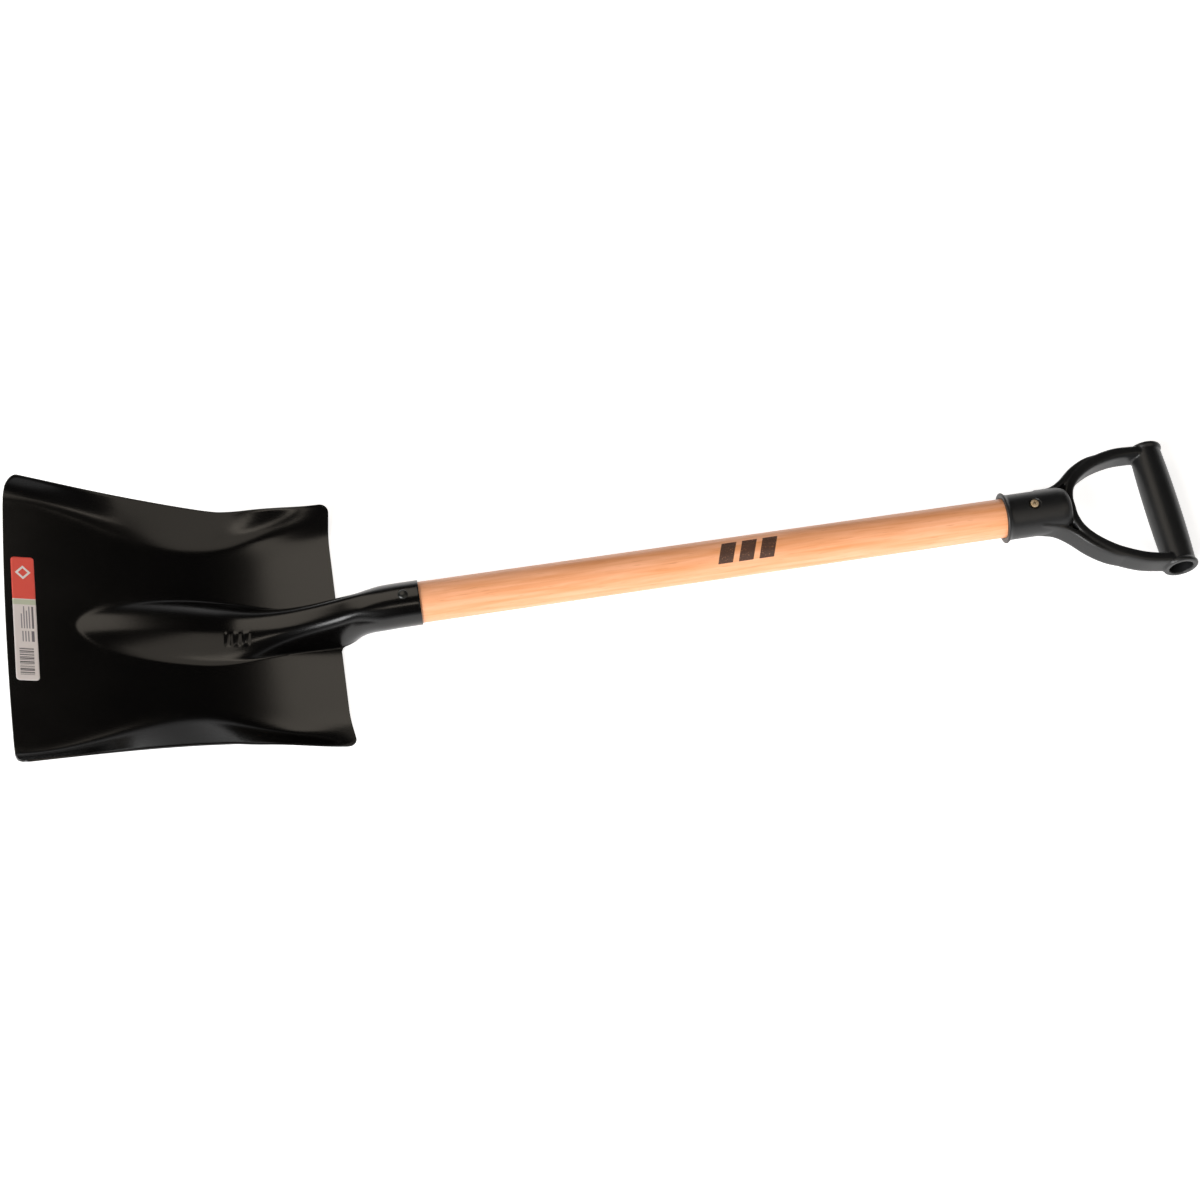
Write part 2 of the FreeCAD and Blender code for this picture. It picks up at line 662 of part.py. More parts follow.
def washer_cut():
    """Saddle washer: a disc cut from a curved wall that fits the socket's back."""
    def cylinder(name, radius, height, place, radius_expression):
        solid = doc.addObject("Part::Cylinder", name)
        solid.Radius = radius
        solid.setExpression("Radius", radius_expression)
        solid.Height = height
        solid.Placement = place
        solid.Visibility = False
        return solid

    station = -size("rivet_station")
    lengthwise = Placement(Vector(station - 15, 0, 0), Rotation(Vector(0, 1, 0), 90))
    square = Placement(Vector(station, 0, -40), Rotation())
    outer = cylinder("saddle_outer", 21, 30, lengthwise, "dimensions.socket_radius + dimensions.washer_thickness")
    inner = cylinder("saddle_inner", 20, 30, lengthwise, "dimensions.socket_radius")
    disc = cylinder("saddle_disc", 8, 40, square, "dimensions.washer_radius")
    hole = cylinder("saddle_hole", 2.5, 40, square, "dimensions.rivet_radius")
    wall = doc.addObject("Part::Cut", "saddle_wall")
    wall.Base, wall.Tool = outer, inner
    blank = doc.addObject("Part::Common", "saddle_blank")
    blank.Base, blank.Tool = wall, disc
    washer = doc.addObject("Part::Cut", "rivet_washer")
    washer.Base, washer.Tool = blank, hole
    washer.Label = "rivet_washer"
    doc.recompute()
    print("rivet_washer", round(washer.Shape.Volume, 1))
    return washer


def label_body():
    """Paper label with rounded corners, flat on the pan beside the mouth."""
    body = new_body("label")
    place = Placement(Vector(size("label_station"), size("label_shift"), 0.02), Rotation())
    across, along = size("label_width") / 2, size("label_length") / 2
    corner = size("label_corner")
    sketch = new_sketch(body, "label_outline", "XY_Plane", place)
    centres = [(across - corner, along - corner), (corner - across, along - corner),
               (corner - across, corner - along), (across - corner, corner - along)]
    for quarter, (x, y) in enumerate(centres):
        circle = Part.Circle(Vector(x, y, 0), Vector(0, 0, 1), corner)
        start = quarter * math.pi / 2
        sketch.addGeometry(Part.ArcOfCircle(circle, start, start + math.pi / 2), False)
    sides = [((across - corner, along), (corner - across, along)),
             ((-across, along - corner), (-across, corner - along)),
             ((corner - across, -along), (across - corner, -along)),
             ((across, corner - along), (across, along - corner))]
    for start, stop in sides:
        sketch.addGeometry(Part.LineSegment(Vector(*start, 0), Vector(*stop, 0)), False)
    pad = body.newObject("PartDesign::Pad", "paper")
    pad.Profile = sketch
    pad.setExpression("Length", "dimensions.label_thickness")
    sketch.Visibility = False
    doc.recompute()
    print("label", round(body.Shape.Volume, 1))
    return body


# ---------------------------------------------------------------- assembly

blade = doc.addObject("Part::Feature", "blade")
blade.Label = "blade"
blade.Shape = blade_shape()

grip = grip_body()
on_shaft = [shaft_body(), rivet_body(), screw_body(), washer_cut()]
on_blade = [blade, label_body()]

laid_back = Placement(Vector(0, 0, 0), Rotation(Vector(0, 1, 0), size("rest_tilt")))
for piece in on_blade:
    piece.Placement = laid_back
for piece in on_shaft:
    piece.Placement = laid_back.multiply(shaft_placement)
collar_mouth = Placement(Vector(size("shaft_free_length"), 0, 0), Rotation())
grip.Placement = laid_back.multiply(shaft_placement).multiply(collar_mouth)
doc.recompute()

pieces = on_blade + on_shaft + [grip]
whole = Part.makeCompound([piece.Shape for piece in pieces]).optimalBoundingBox(False, False)
centre = Vector((whole.XMin + whole.XMax) / 2, (whole.YMin + whole.YMax) / 2, whole.ZMin)
for piece in pieces:
    place = piece.Placement
    piece.Placement = Placement(place.Base - centre, place.Rotation)
doc.recompute()

problems = [thing.Name for thing in doc.Objects if "Invalid" in thing.State or "Error" in thing.State]
problems += [piece.Label for piece in pieces if piece.Shape.isNull() or not piece.Shape.isValid()]
if problems:
    raise RuntimeError("failed objects: " + ", ".join(problems))

for piece in pieces:
    box = piece.Shape.optimalBoundingBox(False, False)
    print(f"{piece.Label}: x {box.XMin:.1f}..{box.XMax:.1f} y {box.YMin:.1f}..{box.YMax:.1f} "
          f"z {box.ZMin:.2f}..{box.ZMax:.2f} volume {piece.Shape.Volume:.0f}")
    piece.Shape.exportStep(f"parts/{piece.Label}.step")
print("origin shift", centre)
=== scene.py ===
import bpy
import bmesh
import json
import math
from mathutils import Matrix, Vector


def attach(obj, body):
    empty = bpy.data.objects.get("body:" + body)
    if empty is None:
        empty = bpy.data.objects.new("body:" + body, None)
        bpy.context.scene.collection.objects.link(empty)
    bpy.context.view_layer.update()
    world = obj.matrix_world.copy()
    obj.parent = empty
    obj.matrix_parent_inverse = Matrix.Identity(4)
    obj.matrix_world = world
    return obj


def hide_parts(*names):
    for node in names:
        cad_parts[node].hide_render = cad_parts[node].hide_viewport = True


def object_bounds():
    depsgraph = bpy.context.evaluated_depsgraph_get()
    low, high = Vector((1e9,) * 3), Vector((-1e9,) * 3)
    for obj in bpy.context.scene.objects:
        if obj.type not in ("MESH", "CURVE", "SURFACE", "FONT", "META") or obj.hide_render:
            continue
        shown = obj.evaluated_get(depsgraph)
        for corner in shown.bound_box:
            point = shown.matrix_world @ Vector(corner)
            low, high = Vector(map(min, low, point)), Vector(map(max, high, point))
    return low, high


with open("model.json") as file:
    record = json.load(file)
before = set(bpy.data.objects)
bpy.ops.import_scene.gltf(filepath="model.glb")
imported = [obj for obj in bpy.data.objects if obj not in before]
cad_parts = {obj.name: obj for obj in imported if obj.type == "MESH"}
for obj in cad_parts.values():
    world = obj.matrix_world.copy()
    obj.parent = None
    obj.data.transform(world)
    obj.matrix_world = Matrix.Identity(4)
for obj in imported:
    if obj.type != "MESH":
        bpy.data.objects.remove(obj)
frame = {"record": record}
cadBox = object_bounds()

scene = bpy.context.scene
toMetres = Matrix.Scale(0.001, 4)    # pieces are drawn in millimetres

# the shaft's axis comes from the record's clip mount, everything else hangs on that axis
layout = {
    "clipStation": 0.265,      # middle of the clip's land, from the socket's mouth
    "socketLift": 24.8,        # degrees between pan and shaft
    "mouthStation": 0.342,     # socket's mouth from the blade's mouth
    "mouthHeight": 0.0786,     # socket's mouth above the pan
    "freeWood": 0.527,         # bare wood from socket to collar
    "gripBend": 0.020,         # where the grip cants back, from the collar's mouth
    "gripCant": 11.4,          # degrees
}
clip = frame["record"]["mounts"][0]
along = Vector(clip["axis"]).normalized()
across = Vector((0, 1, 0))
front = along.cross(across)
socketMouth = Vector(clip["pos_m"]) - along * layout["clipStation"]
shaftTurn = Matrix((along, across, front)).transposed().to_4x4()
shaftPlace = Matrix.Translation(socketMouth) @ shaftTurn
panTilt = math.radians(layout["socketLift"]) - math.atan2(along.z, along.x)
bladeTurn = Matrix.Rotation(panTilt, 4, "Y")
bladeOrigin = socketMouth - bladeTurn @ Vector((layout["mouthStation"], 0, layout["mouthHeight"]))
bladePlace = Matrix.Translation(bladeOrigin) @ bladeTurn
collarPlace = shaftPlace @ Matrix.Translation((layout["freeWood"], 0, 0))
gripPlace = collarPlace @ Matrix.Translation((layout["gripBend"], 0, 0))
gripPlace = gripPlace @ Matrix.Rotation(math.radians(layout["gripCant"]), 4, "Y")
print("frame placed, pan tilted", round(math.degrees(panTilt), 2))


def hexColor(text):
    parts = [int(text[place:place + 2], 16) / 255 for place in (1, 3, 5)]
    linear = [part / 12.92 if part <= 0.04045 else ((part + 0.055) / 1.055) ** 2.4 for part in parts]
    return (*linear, 1.0)


def addNode(tree, kind, settings, links=()):
    node = tree.nodes.new(kind)
    for key, value in settings.items():
        if isinstance(key, int) or key in node.inputs:
            node.inputs[key].default_value = value
        else:
            setattr(node, key, value)
    for key, source in dict(links).items():
        tree.links.new(source, node.inputs[key])
    return node


def newMaterial(name):
    material = bpy.data.materials.new(name)
    material.use_nodes = True
    return material, material.node_tree, material.node_tree.nodes["Principled BSDF"]


def ease(fraction):
    return 0.5 - 0.5 * math.cos(math.pi * min(max(fraction, 0.0), 1.0))


def softRamp(distance, slope, softness):
    if distance <= -softness:
        return 0.0
    if distance >= softness:
        return slope * distance
    return slope * (distance + softness) ** 2 / (4 * softness)


def sheetFrom(rows, closed=False):
    # a grid whose points are moved on to rows of places
    bm = bmesh.new()
    columns = len(rows[0]) if closed else len(rows[0]) - 1
    bmesh.ops.create_grid(bm, x_segments=columns, y_segments=len(rows) - 1, size=1)
    for vertex in bm.verts:
        column = round((vertex.co.x + 1) / 2 * columns)
        row = round((vertex.co.y + 1) / 2 * (len(rows) - 1))
        vertex.co = rows[row][column % len(rows[0])]
    bmesh.ops.remove_doubles(bm, verts=bm.verts, dist=0.001)
    return bm


def closeEnds(bm):
    bmesh.ops.holes_fill(bm, edges=[edge for edge in bm.edges if edge.is_boundary], sides=0)
    bmesh.ops.recalc_face_normals(bm, faces=bm.faces)
    return bm


def turned(profile, steps, axis=(1, 0, 0), loop=False):
    # profile points are (distance along the axis, radius)
    bm = bmesh.new()
    upright = abs(axis[0]) < 0.5
    points = [bm.verts.new((radius, place, 0) if upright else (place, radius, 0)) for place, radius in profile]
    edges = [bm.edges.new(pair) for pair in zip(points, points[1:])]
    if loop:
        edges.append(bm.edges.new((points[-1], points[0])))
    bmesh.ops.spin(bm, geom=points + edges, cent=(0, 0, 0), axis=axis, dvec=(0, 0, 0),
                   angle=2 * math.pi, steps=steps, use_merge=True, use_duplicate=False)
    bmesh.ops.remove_doubles(bm, verts=bm.verts, dist=0.001)
    bmesh.ops.recalc_face_normals(bm, faces=bm.faces)
    return bm


def newPiece(name, bm, place, node, materials):
    bmesh.ops.transform(bm, matrix=place @ toMetres, verts=bm.verts)
    mesh = bpy.data.meshes.new(name)
    bm.to_mesh(mesh)
    bm.free()
    mesh.shade_smooth()
    for material in materials:
        mesh.materials.append(material)
    piece = bpy.data.objects.new(name, mesh)
    scene.collection.objects.link(piece)
    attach(piece, "root")
    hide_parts(node)
    return piece


def addModifier(piece, kind, settings):
    modifier = piece.modifiers.new(kind.lower(), kind)
    for key, value in settings.items():
        setattr(modifier, key, value)


def applied(piece):
    # replace the piece's mesh by what its modifiers make
    graph = bpy.context.evaluated_depsgraph_get()
    mesh = bpy.data.meshes.new_from_object(piece.evaluated_get(graph))
    piece.modifiers.clear()
    old = piece.data
    piece.data = mesh
    bpy.data.meshes.remove(old)
    mesh.shade_smooth()


def enamelMaterial():
    # stoving enamel dipped and baked on pressed steel: black, semi-gloss, faint orange peel
    material, tree, shader = newMaterial("blackStovingEnamel")
    place = addNode(tree, "ShaderNodeTexCoord", {}).outputs["Object"]
    # orange peel in waves of 2.4 mm, handling marks about 55 mm across
    peel = addNode(tree, "ShaderNodeTexNoise", {"Scale": 420.0, "Detail": 2.0}, {"Vector": place})
    cloud = addNode(tree, "ShaderNodeTexNoise", {"Scale": 18.0, "Detail": 4.0}, {"Vector": place})
    tone = addNode(tree, "ShaderNodeValToRGB", {}, {"Fac": cloud.outputs["Fac"]})
    tone.color_ramp.elements[0].color = hexColor("#020202")
    tone.color_ramp.elements[1].color = hexColor("#050404")
    rough = addNode(tree, "ShaderNodeMapRange", {"To Min": 0.16, "To Max": 0.24},
                    {"Value": cloud.outputs["Fac"]})
    bump = addNode(tree, "ShaderNodeBump", {"Strength": 0.10, "Distance": 0.0002},
                   {"Height": peel.outputs["Fac"]})
    tree.links.new(tone.outputs["Color"], shader.inputs["Base Color"])
    tree.links.new(rough.outputs["Result"], shader.inputs["Roughness"])
    tree.links.new(bump.outputs["Normal"], shader.inputs["Normal"])
    return material


def woodMaterial():
    # turned beech under clear lacquer: pink-tan, fine grain lines, short darker rays, low sheen
    material, tree, shader = newMaterial("lacqueredBeech")
    coords = addNode(tree, "ShaderNodeTexCoord", {}).outputs["Object"]
    turn = math.atan2(along.z, along.x)
    centred = addNode(tree, "ShaderNodeMapping",
                      {"vector_type": "TEXTURE", "Location": socketMouth, "Rotation": (0, -turn, 0)},
                      {"Vector": coords}).outputs["Vector"]
    long = addNode(tree, "ShaderNodeMapping", {"Scale": (3.0, 60.0, 60.0)}, {"Vector": centred})
    grain = addNode(tree, "ShaderNodeTexNoise", {"Scale": 4.0, "Detail": 5.0, "Distortion": 0.4},
                    {"Vector": long.outputs["Vector"]})    # lines about 4 mm apart, 80 mm long
    fine = addNode(tree, "ShaderNodeMapping", {"Scale": (60.0, 900.0, 900.0)}, {"Vector": centred})
    flecks = addNode(tree, "ShaderNodeTexNoise", {"Scale": 1.0, "Detail": 2.0},
                     {"Vector": fine.outputs["Vector"]})    # rays about 1 mm wide, 17 mm long
    tone = addNode(tree, "ShaderNodeValToRGB", {}, {"Fac": grain.outputs["Fac"]})
    tone.color_ramp.elements[0].position = 0.30
    tone.color_ramp.elements[1].position = 0.72
    tone.color_ramp.elements[0].color = hexColor("#d8905c")
    tone.color_ramp.elements[1].color = hexColor("#f0b08a")
    fleck = addNode(tree, "ShaderNodeMapRange",
                    {"From Min": 0.62, "From Max": 0.74, "To Min": 0.0, "To Max": 0.45},
                    {"Value": flecks.outputs["Fac"]})
    mixed = addNode(tree, "ShaderNodeMix", {"data_type": "RGBA"},
                    {0: fleck.outputs["Result"], 6: tone.outputs["Color"]})
    mixed.inputs[7].default_value = hexColor("#b8743f")
    # plain burnt mark: slanted bars on the front of the shaft
    mark = markMask(tree, centred)
    burnt = addNode(tree, "ShaderNodeMix", {"data_type": "RGBA"}, {0: mark, 6: mixed.outputs[2]})
    burnt.inputs[7].default_value = hexColor("#2a1a18")
    bump = addNode(tree, "ShaderNodeBump", {"Strength": 0.15, "Distance": 0.0002},
                   {"Height": grain.outputs["Fac"]})
    tree.links.new(burnt.outputs[2], shader.inputs["Base Color"])
    tree.links.new(bump.outputs["Normal"], shader.inputs["Normal"])
    shader.inputs["Roughness"].default_value = 0.42
    shader.inputs["Coat Weight"].default_value = 0.25
    shader.inputs["Coat Roughness"].default_value = 0.3
    return material


# in metres, bar is the dark share of the pitch
woodMark = {"station": 0.295, "side": -0.003, "length": 0.055, "height": 0.018, "pitch": 0.0185,
            "bar": 0.72, "slant": 0.35}


def markMask(tree, centred):
    parts = addNode(tree, "ShaderNodeSeparateXYZ", {}, {"Vector": centred})
    fromMiddle = addNode(tree, "ShaderNodeMath", {"operation": "SUBTRACT", 1: woodMark["station"]},
                         {0: parts.outputs["X"]})
    sideways = addNode(tree, "ShaderNodeMath", {"operation": "SUBTRACT", 1: woodMark["side"]},
                       {0: parts.outputs["Y"]})
    lean = addNode(tree, "ShaderNodeMath", {"operation": "MULTIPLY_ADD", 1: -woodMark["slant"]},
                   {0: sideways.outputs[0], 2: fromMiddle.outputs[0]})
    shifted = addNode(tree, "ShaderNodeMath", {"operation": "ADD", 1: woodMark["length"] / 2},
                      {0: lean.outputs[0]})
    turns = addNode(tree, "ShaderNodeMath", {"operation": "DIVIDE", 1: woodMark["pitch"]},
                    {0: shifted.outputs[0]})
    saw = addNode(tree, "ShaderNodeMath", {"operation": "FRACT"}, {0: turns.outputs[0]})
    bars = addNode(tree, "ShaderNodeMath", {"operation": "LESS_THAN", 1: woodMark["bar"]},
                   {0: saw.outputs[0]})
    centredLean = addNode(tree, "ShaderNodeMath", {"operation": "ABSOLUTE"}, {0: lean.outputs[0]})
    inLength = addNode(tree, "ShaderNodeMath", {"operation": "LESS_THAN", 1: woodMark["length"] / 2},
                       {0: centredLean.outputs[0]})
    high = addNode(tree, "ShaderNodeMath", {"operation": "ABSOLUTE"}, {0: sideways.outputs[0]})
    inHeight = addNode(tree, "ShaderNodeMath", {"operation": "LESS_THAN", 1: woodMark["height"] / 2},
                       {0: high.outputs[0]})
    onFront = addNode(tree, "ShaderNodeMath", {"operation": "GREATER_THAN", 1: 0.0},
                      {0: parts.outputs["Z"]})
    mask = bars.outputs[0]
    for other in (inLength, inHeight, onFront):
        both = addNode(tree, "ShaderNodeMath", {"operation": "MULTIPLY"}, {0: mask, 1: other.outputs[0]})
        mask = both.outputs[0]
    worn = addNode(tree, "ShaderNodeTexNoise", {"Scale": 900.0, "Detail": 2.0}, {"Vector": centred})
    solid = addNode(tree, "ShaderNodeMapRange",
                    {"From Min": 0.25, "From Max": 0.4, "To Min": 0.55, "To Max": 0.95},
                    {"Value": worn.outputs["Fac"]})
    faded = addNode(tree, "ShaderNodeMath", {"operation": "MULTIPLY"}, {0: mask, 1: solid.outputs["Result"]})
    return faded.outputs[0]


def gripMaterial():
    # injection-moulded polypropylene: charcoal black, satin, fine spark-eroded grain
    material, tree, shader = newMaterial("mouldedPolypropylene")
    place = addNode(tree, "ShaderNodeTexCoord", {}).outputs["Object"]
    # grain of 0.7 mm, coarser than real so that it shows
    spark = addNode(tree, "ShaderNodeTexNoise", {"Scale": 1400.0, "Detail": 3.0}, {"Vector": place})
    cloud = addNode(tree, "ShaderNodeTexNoise", {"Scale": 30.0, "Detail": 3.0}, {"Vector": place})
    tone = addNode(tree, "ShaderNodeValToRGB", {}, {"Fac": cloud.outputs["Fac"]})
    tone.color_ramp.elements[0].color = hexColor("#0b0b0c")
    tone.color_ramp.elements[1].color = hexColor("#121314")
    rough = addNode(tree, "ShaderNodeMapRange", {"To Min": 0.36, "To Max": 0.46},
                    {"Value": cloud.outputs["Fac"]})
    bump = addNode(tree, "ShaderNodeBump", {"Strength": 0.2, "Distance": 0.0002},
                   {"Height": spark.outputs["Fac"]})
    tree.links.new(tone.outputs["Color"], shader.inputs["Base Color"])
    tree.links.new(rough.outputs["Result"], shader.inputs["Roughness"])
    tree.links.new(bump.outputs["Normal"], shader.inputs["Normal"])
    return material


def steelMaterial(name, light, dark, roughness):
    # plated or dipped steel fasteners: tone and gloss vary a little over the head
    material, tree, shader = newMaterial(name)
    place = addNode(tree, "ShaderNodeTexCoord", {}).outputs["Object"]
    cloud = addNode(tree, "ShaderNodeTexNoise", {"Scale": 350.0, "Detail": 3.0}, {"Vector": place})
    tone = addNode(tree, "ShaderNodeValToRGB", {}, {"Fac": cloud.outputs["Fac"]})
    tone.color_ramp.elements[0].position = 0.35
    tone.color_ramp.elements[1].position = 0.65
    tone.color_ramp.elements[0].color = hexColor(dark)
    tone.color_ramp.elements[1].color = hexColor(light)
    bump = addNode(tree, "ShaderNodeBump", {"Strength": 0.15, "Distance": 0.0001},
                   {"Height": cloud.outputs["Fac"]})
    tree.links.new(tone.outputs["Color"], shader.inputs["Base Color"])
    tree.links.new(bump.outputs["Normal"], shader.inputs["Normal"])
    shader.inputs["Roughness"].default_value = roughness
    return material


blade = {
    "thickness": 1.6, "length": 284.5, "mouthWidth": 273.0, "mouthBulge": 2.5, "bulgeFade": 30.0,
    "waistWidth": 227.5, "shoulderWidth": 243.0, "waistStation": 185.0, "cornerRadius": 9.0,
    "mouthFlare": 1.3, "shoulderFlare": 1.2,
    "heelStation": 165.0, "heelRadius": 289.0,
    "wallHeight": 17.0, "wallFadeStart": 208.0, "wallFadeEnd": 290.0, "wallRun": 7.0,
    "creaseMouth": 126.0, "creaseWaist": 81.0, "creaseRear": 107.0, "creaseStation": 157.0, "creaseEnd": 265.0,
    "creaseSoftness": 8.0,
    "wingHeight": 11.0, "wingLine": 78.0, "wingSoftness": 10.0, "wingLead": 22.0, "wingSpread": 0.15,
    "ridgeTip": 57.0, "ridgeHeight": 12.5, "ridgeWidth": 62.0, "neckWidth": 41.5, "neckTaper": 95.0,
    "ridgeFullness": 1.8, "neckFullness": 3.7, "neckStart": 180.0, "ridgeSoftness": 2.2, "ridgeSoftShare": 0.45,
    "zoneStart": 250.0, "zoneLeast": 13.0, "zoneMargin": 3.0,    # strip of sheet that goes on into the tongue
    "tongueFillet": 3.5, "tongueMargin": 0.3, "legPath": 40.0, "socketRadius": 20.0, "socketStraight": 15.0,
    "neckRadius": 165.0, "neckTurn": 16.5, "seamWidth": 2.4, "tubeStart": 30.0, "edgeRound": 0.35,
}
stamp = {"stations": (186, 194, 202), "side": -11.0, "length": 4.6, "width": 11.0, "height": 0.7, "slope": 1.4}
mesh = {"ridgeColumns": 32, "outerColumns": 34, "cornerRows": 7, "rowStep": 2.7, "stampStep": 1.0,
        "stampBefore": 7, "stampAfter": 6, "tongueRows": 16, "tongueCrowding": 1.3, "tubeRows": 14,
        "weld": 0.02, "sharpAngle": 50}
liftAngle = math.radians(layout["socketLift"])
mouthPoint = Vector((layout["mouthStation"], 0, layout["mouthHeight"])) * 1000


def halfWidth(x):
    waist, narrow = blade["waistStation"], blade["waistWidth"] / 2
    if x < waist:
        return narrow + (blade["mouthWidth"] / 2 - narrow) * ((waist - x) / waist) ** blade["mouthFlare"]
    reach = (x - waist) / (blade["length"] - waist)
    return narrow + (blade["shoulderWidth"] / 2 - narrow) * reach ** blade["shoulderFlare"]


def edgeLine(x):
    # half width with the rounded corners taken off
    corner, length = blade["cornerRadius"], blade["length"]
    run = max(corner - x, x - (length - corner), 0)
    return halfWidth(x) - corner + math.sqrt(max(corner ** 2 - run ** 2, 0))


def panHeight(x):
    run = max(x - blade["heelStation"], 0)
    return blade["heelRadius"] - math.sqrt(blade["heelRadius"] ** 2 - run ** 2)


def wallFoot(x):
    nearest, waist = blade["creaseStation"], blade["creaseWaist"]
    if x < nearest:
        return blade["creaseMouth"] + (waist - blade["creaseMouth"]) * ease(x / nearest)
    return waist + (blade["creaseRear"] - waist) * ease((x - nearest) / (blade["creaseEnd"] - nearest))


def wallRise(x, y):
    start, end = blade["wallFadeStart"], blade["wallFadeEnd"]
    height = blade["wallHeight"] * (1 - ease((x - start) / (end - start)))
    run = max(halfWidth(x) - wallFoot(x), blade["wallRun"])
    side = softRamp(abs(y) - wallFoot(x), height / run, blade["creaseSoftness"])
    lead = blade["wingLead"]
    wing = blade["wingHeight"] * ease((x - start + lead) / (blade["length"] - start + lead))
    wingFoot = blade["wingLine"] + blade["wingSpread"] * (x - start)
    return side + softRamp(abs(y) - wingFoot, wing / (halfWidth(x) - wingFoot), blade["wingSoftness"])


def neckPoint(distance):
    # centre line of socket and neck behind the socket's mouth, and its angle above the pan
    direction = Vector((math.cos(liftAngle), 0, math.sin(liftAngle)))
    normal = Vector((-direction.z, 0, direction.x))
    straight, radius = blade["socketStraight"], blade["neckRadius"]
    if distance <= straight:
        return mouthPoint - direction * distance, liftAngle
    angle = liftAngle + (distance - straight) / radius
    centre = mouthPoint - direction * straight - normal * radius
    return centre + Vector((-math.sin(angle), 0, math.cos(angle))) * radius, angle


def crestHeight(x):
    tip, neck, top = blade["ridgeTip"], blade["neckStart"], blade["ridgeHeight"]
    if x <= tip:
        return 0
    if x <= neck:
        return top * (1 - ((neck - x) / (neck - tip)) ** 2) + panHeight(x)
    end, angle = neckPoint(blade["socketStraight"] + math.radians(blade["neckTurn"]) * blade["neckRadius"])
    cover = blade["socketRadius"]
    endX, endZ = end.x - math.sin(angle) * cover, end.z + math.cos(angle) * cover
    if x > endX:
        # on the tube's own top line
        bend, start = neckPoint(blade["socketStraight"])
        centre = bend - Vector((-math.sin(liftAngle), 0, math.cos(liftAngle))) * blade["neckRadius"]
        return centre.z + math.sqrt((blade["neckRadius"] + cover) ** 2 - (x - centre.x) ** 2)
    startZ = top + panHeight(neck)
    startSlope = (neck - blade["heelStation"]) / blade["heelRadius"]
    span = endX - neck
    step = (x - neck) / span
    height = (2 * step ** 3 - 3 * step ** 2 + 1) * startZ + (3 * step ** 2 - 2 * step ** 3) * endZ
    height += (step ** 3 - 2 * step ** 2 + step) * span * startSlope
    return height + (step ** 3 - step ** 2) * span * math.tan(angle)


def ridgeHalfWidth(x):
    widest, tip, full = blade["heelStation"], blade["ridgeTip"], blade["ridgeWidth"] / 2
    if x <= tip:
        return 0
    if x <= widest:
        return full * math.sqrt(1 - ((widest - x) / (widest - tip)) ** 2)
    return full + (blade["neckWidth"] / 2 - full) * ease((x - widest) / blade["neckTaper"])


def ridgeRise(x, y):
    width, height = ridgeHalfWidth(x), crestHeight(x) - panHeight(x)
    if width < 0.5 or height <= 0:
        return 0
    grown = ease((x - blade["neckStart"]) / blade["neckTaper"])
    fullness = blade["ridgeFullness"] + (blade["neckFullness"] - blade["ridgeFullness"]) * grown
    softness = min(blade["ridgeSoftness"], blade["ridgeSoftShare"] * height)
    return softRamp(height * (1 - (abs(y) / width) ** fullness), 1, softness)


def stampRise(x, y):
    rise = 0
    for station in stamp["stations"]:
        lengthwise = ease((stamp["length"] / 2 + stamp["slope"] / 2 - abs(x - station)) / stamp["slope"])
        sideways = ease((stamp["width"] / 2 + stamp["slope"] / 2 - abs(y - stamp["side"])) / stamp["slope"])
        rise += stamp["height"] * lengthwise * sideways
    return rise


def panPoint(x, y):
    return Vector((x, y, panHeight(x) + wallRise(x, y) + ridgeRise(x, y)))


def evenly(x, start, end, count, samples=60):
    # places across a row, an even distance apart along the surface
    trace = [panPoint(x, start + (end - start) * step / samples) for step in range(samples + 1)]
    lengths = [0]
    for before, after in zip(trace, trace[1:]):
        lengths.append(lengths[-1] + (after - before).length)
    places, index = [], 0
    for step in range(count + 1):
        wanted = lengths[-1] * step / count
        while index < samples - 1 and lengths[index + 1] < wanted:
            index += 1
        share = (wanted - lengths[index]) / max(lengths[index + 1] - lengths[index], 1e-9)
        places.append(trace[index].y + (trace[index + 1].y - trace[index].y) * share)
    return places


def ridgeZone(x):
    # the part that goes on into the tongue: at the rear edge it ends where the inside corner starts
    near = ease((x - blade["zoneStart"]) / (blade["length"] - blade["zoneStart"]))
    beside = blade["zoneMargin"] * (1 - near) + (blade["tongueMargin"] + blade["tongueFillet"]) * near
    return max(ridgeHalfWidth(x), blade["zoneLeast"]) + beside


def bladeRow(x):
    half = evenly(x, 0, ridgeZone(x), mesh["ridgeColumns"])
    half += evenly(x, ridgeZone(x), edgeLine(x), mesh["outerColumns"])[1:]
    row = []
    for y in [-place for place in reversed(half[1:])] + half:
        point = panPoint(x, y)
        point.z += stampRise(x, y)
        flat = halfWidth(0) - blade["cornerRadius"]
        point.x -= blade["mouthBulge"] * max(1 - (y / flat) ** 2, 0) * max(1 - x / blade["bulgeFade"], 0)
        row.append(point)
    return row


def bladeStations():
    corner, length, count = blade["cornerRadius"], blade["length"], mesh["cornerRows"]
    rounded = [corner * (1 - math.cos(math.pi / 2 * step / count)) for step in range(count)]
    stations = rounded + [corner]
    stampStart = stamp["stations"][0] - mesh["stampBefore"]
    stampEnd = stamp["stations"][-1] + mesh["stampAfter"]
    while stations[-1] < length - corner - mesh["rowStep"]:
        onStamp = stampStart < stations[-1] < stampEnd
        stations.append(stations[-1] + (mesh["stampStep"] if onStamp else mesh["rowStep"]))
    return stations + [length - place for place in reversed(rounded[1:] + [corner])] + [length]


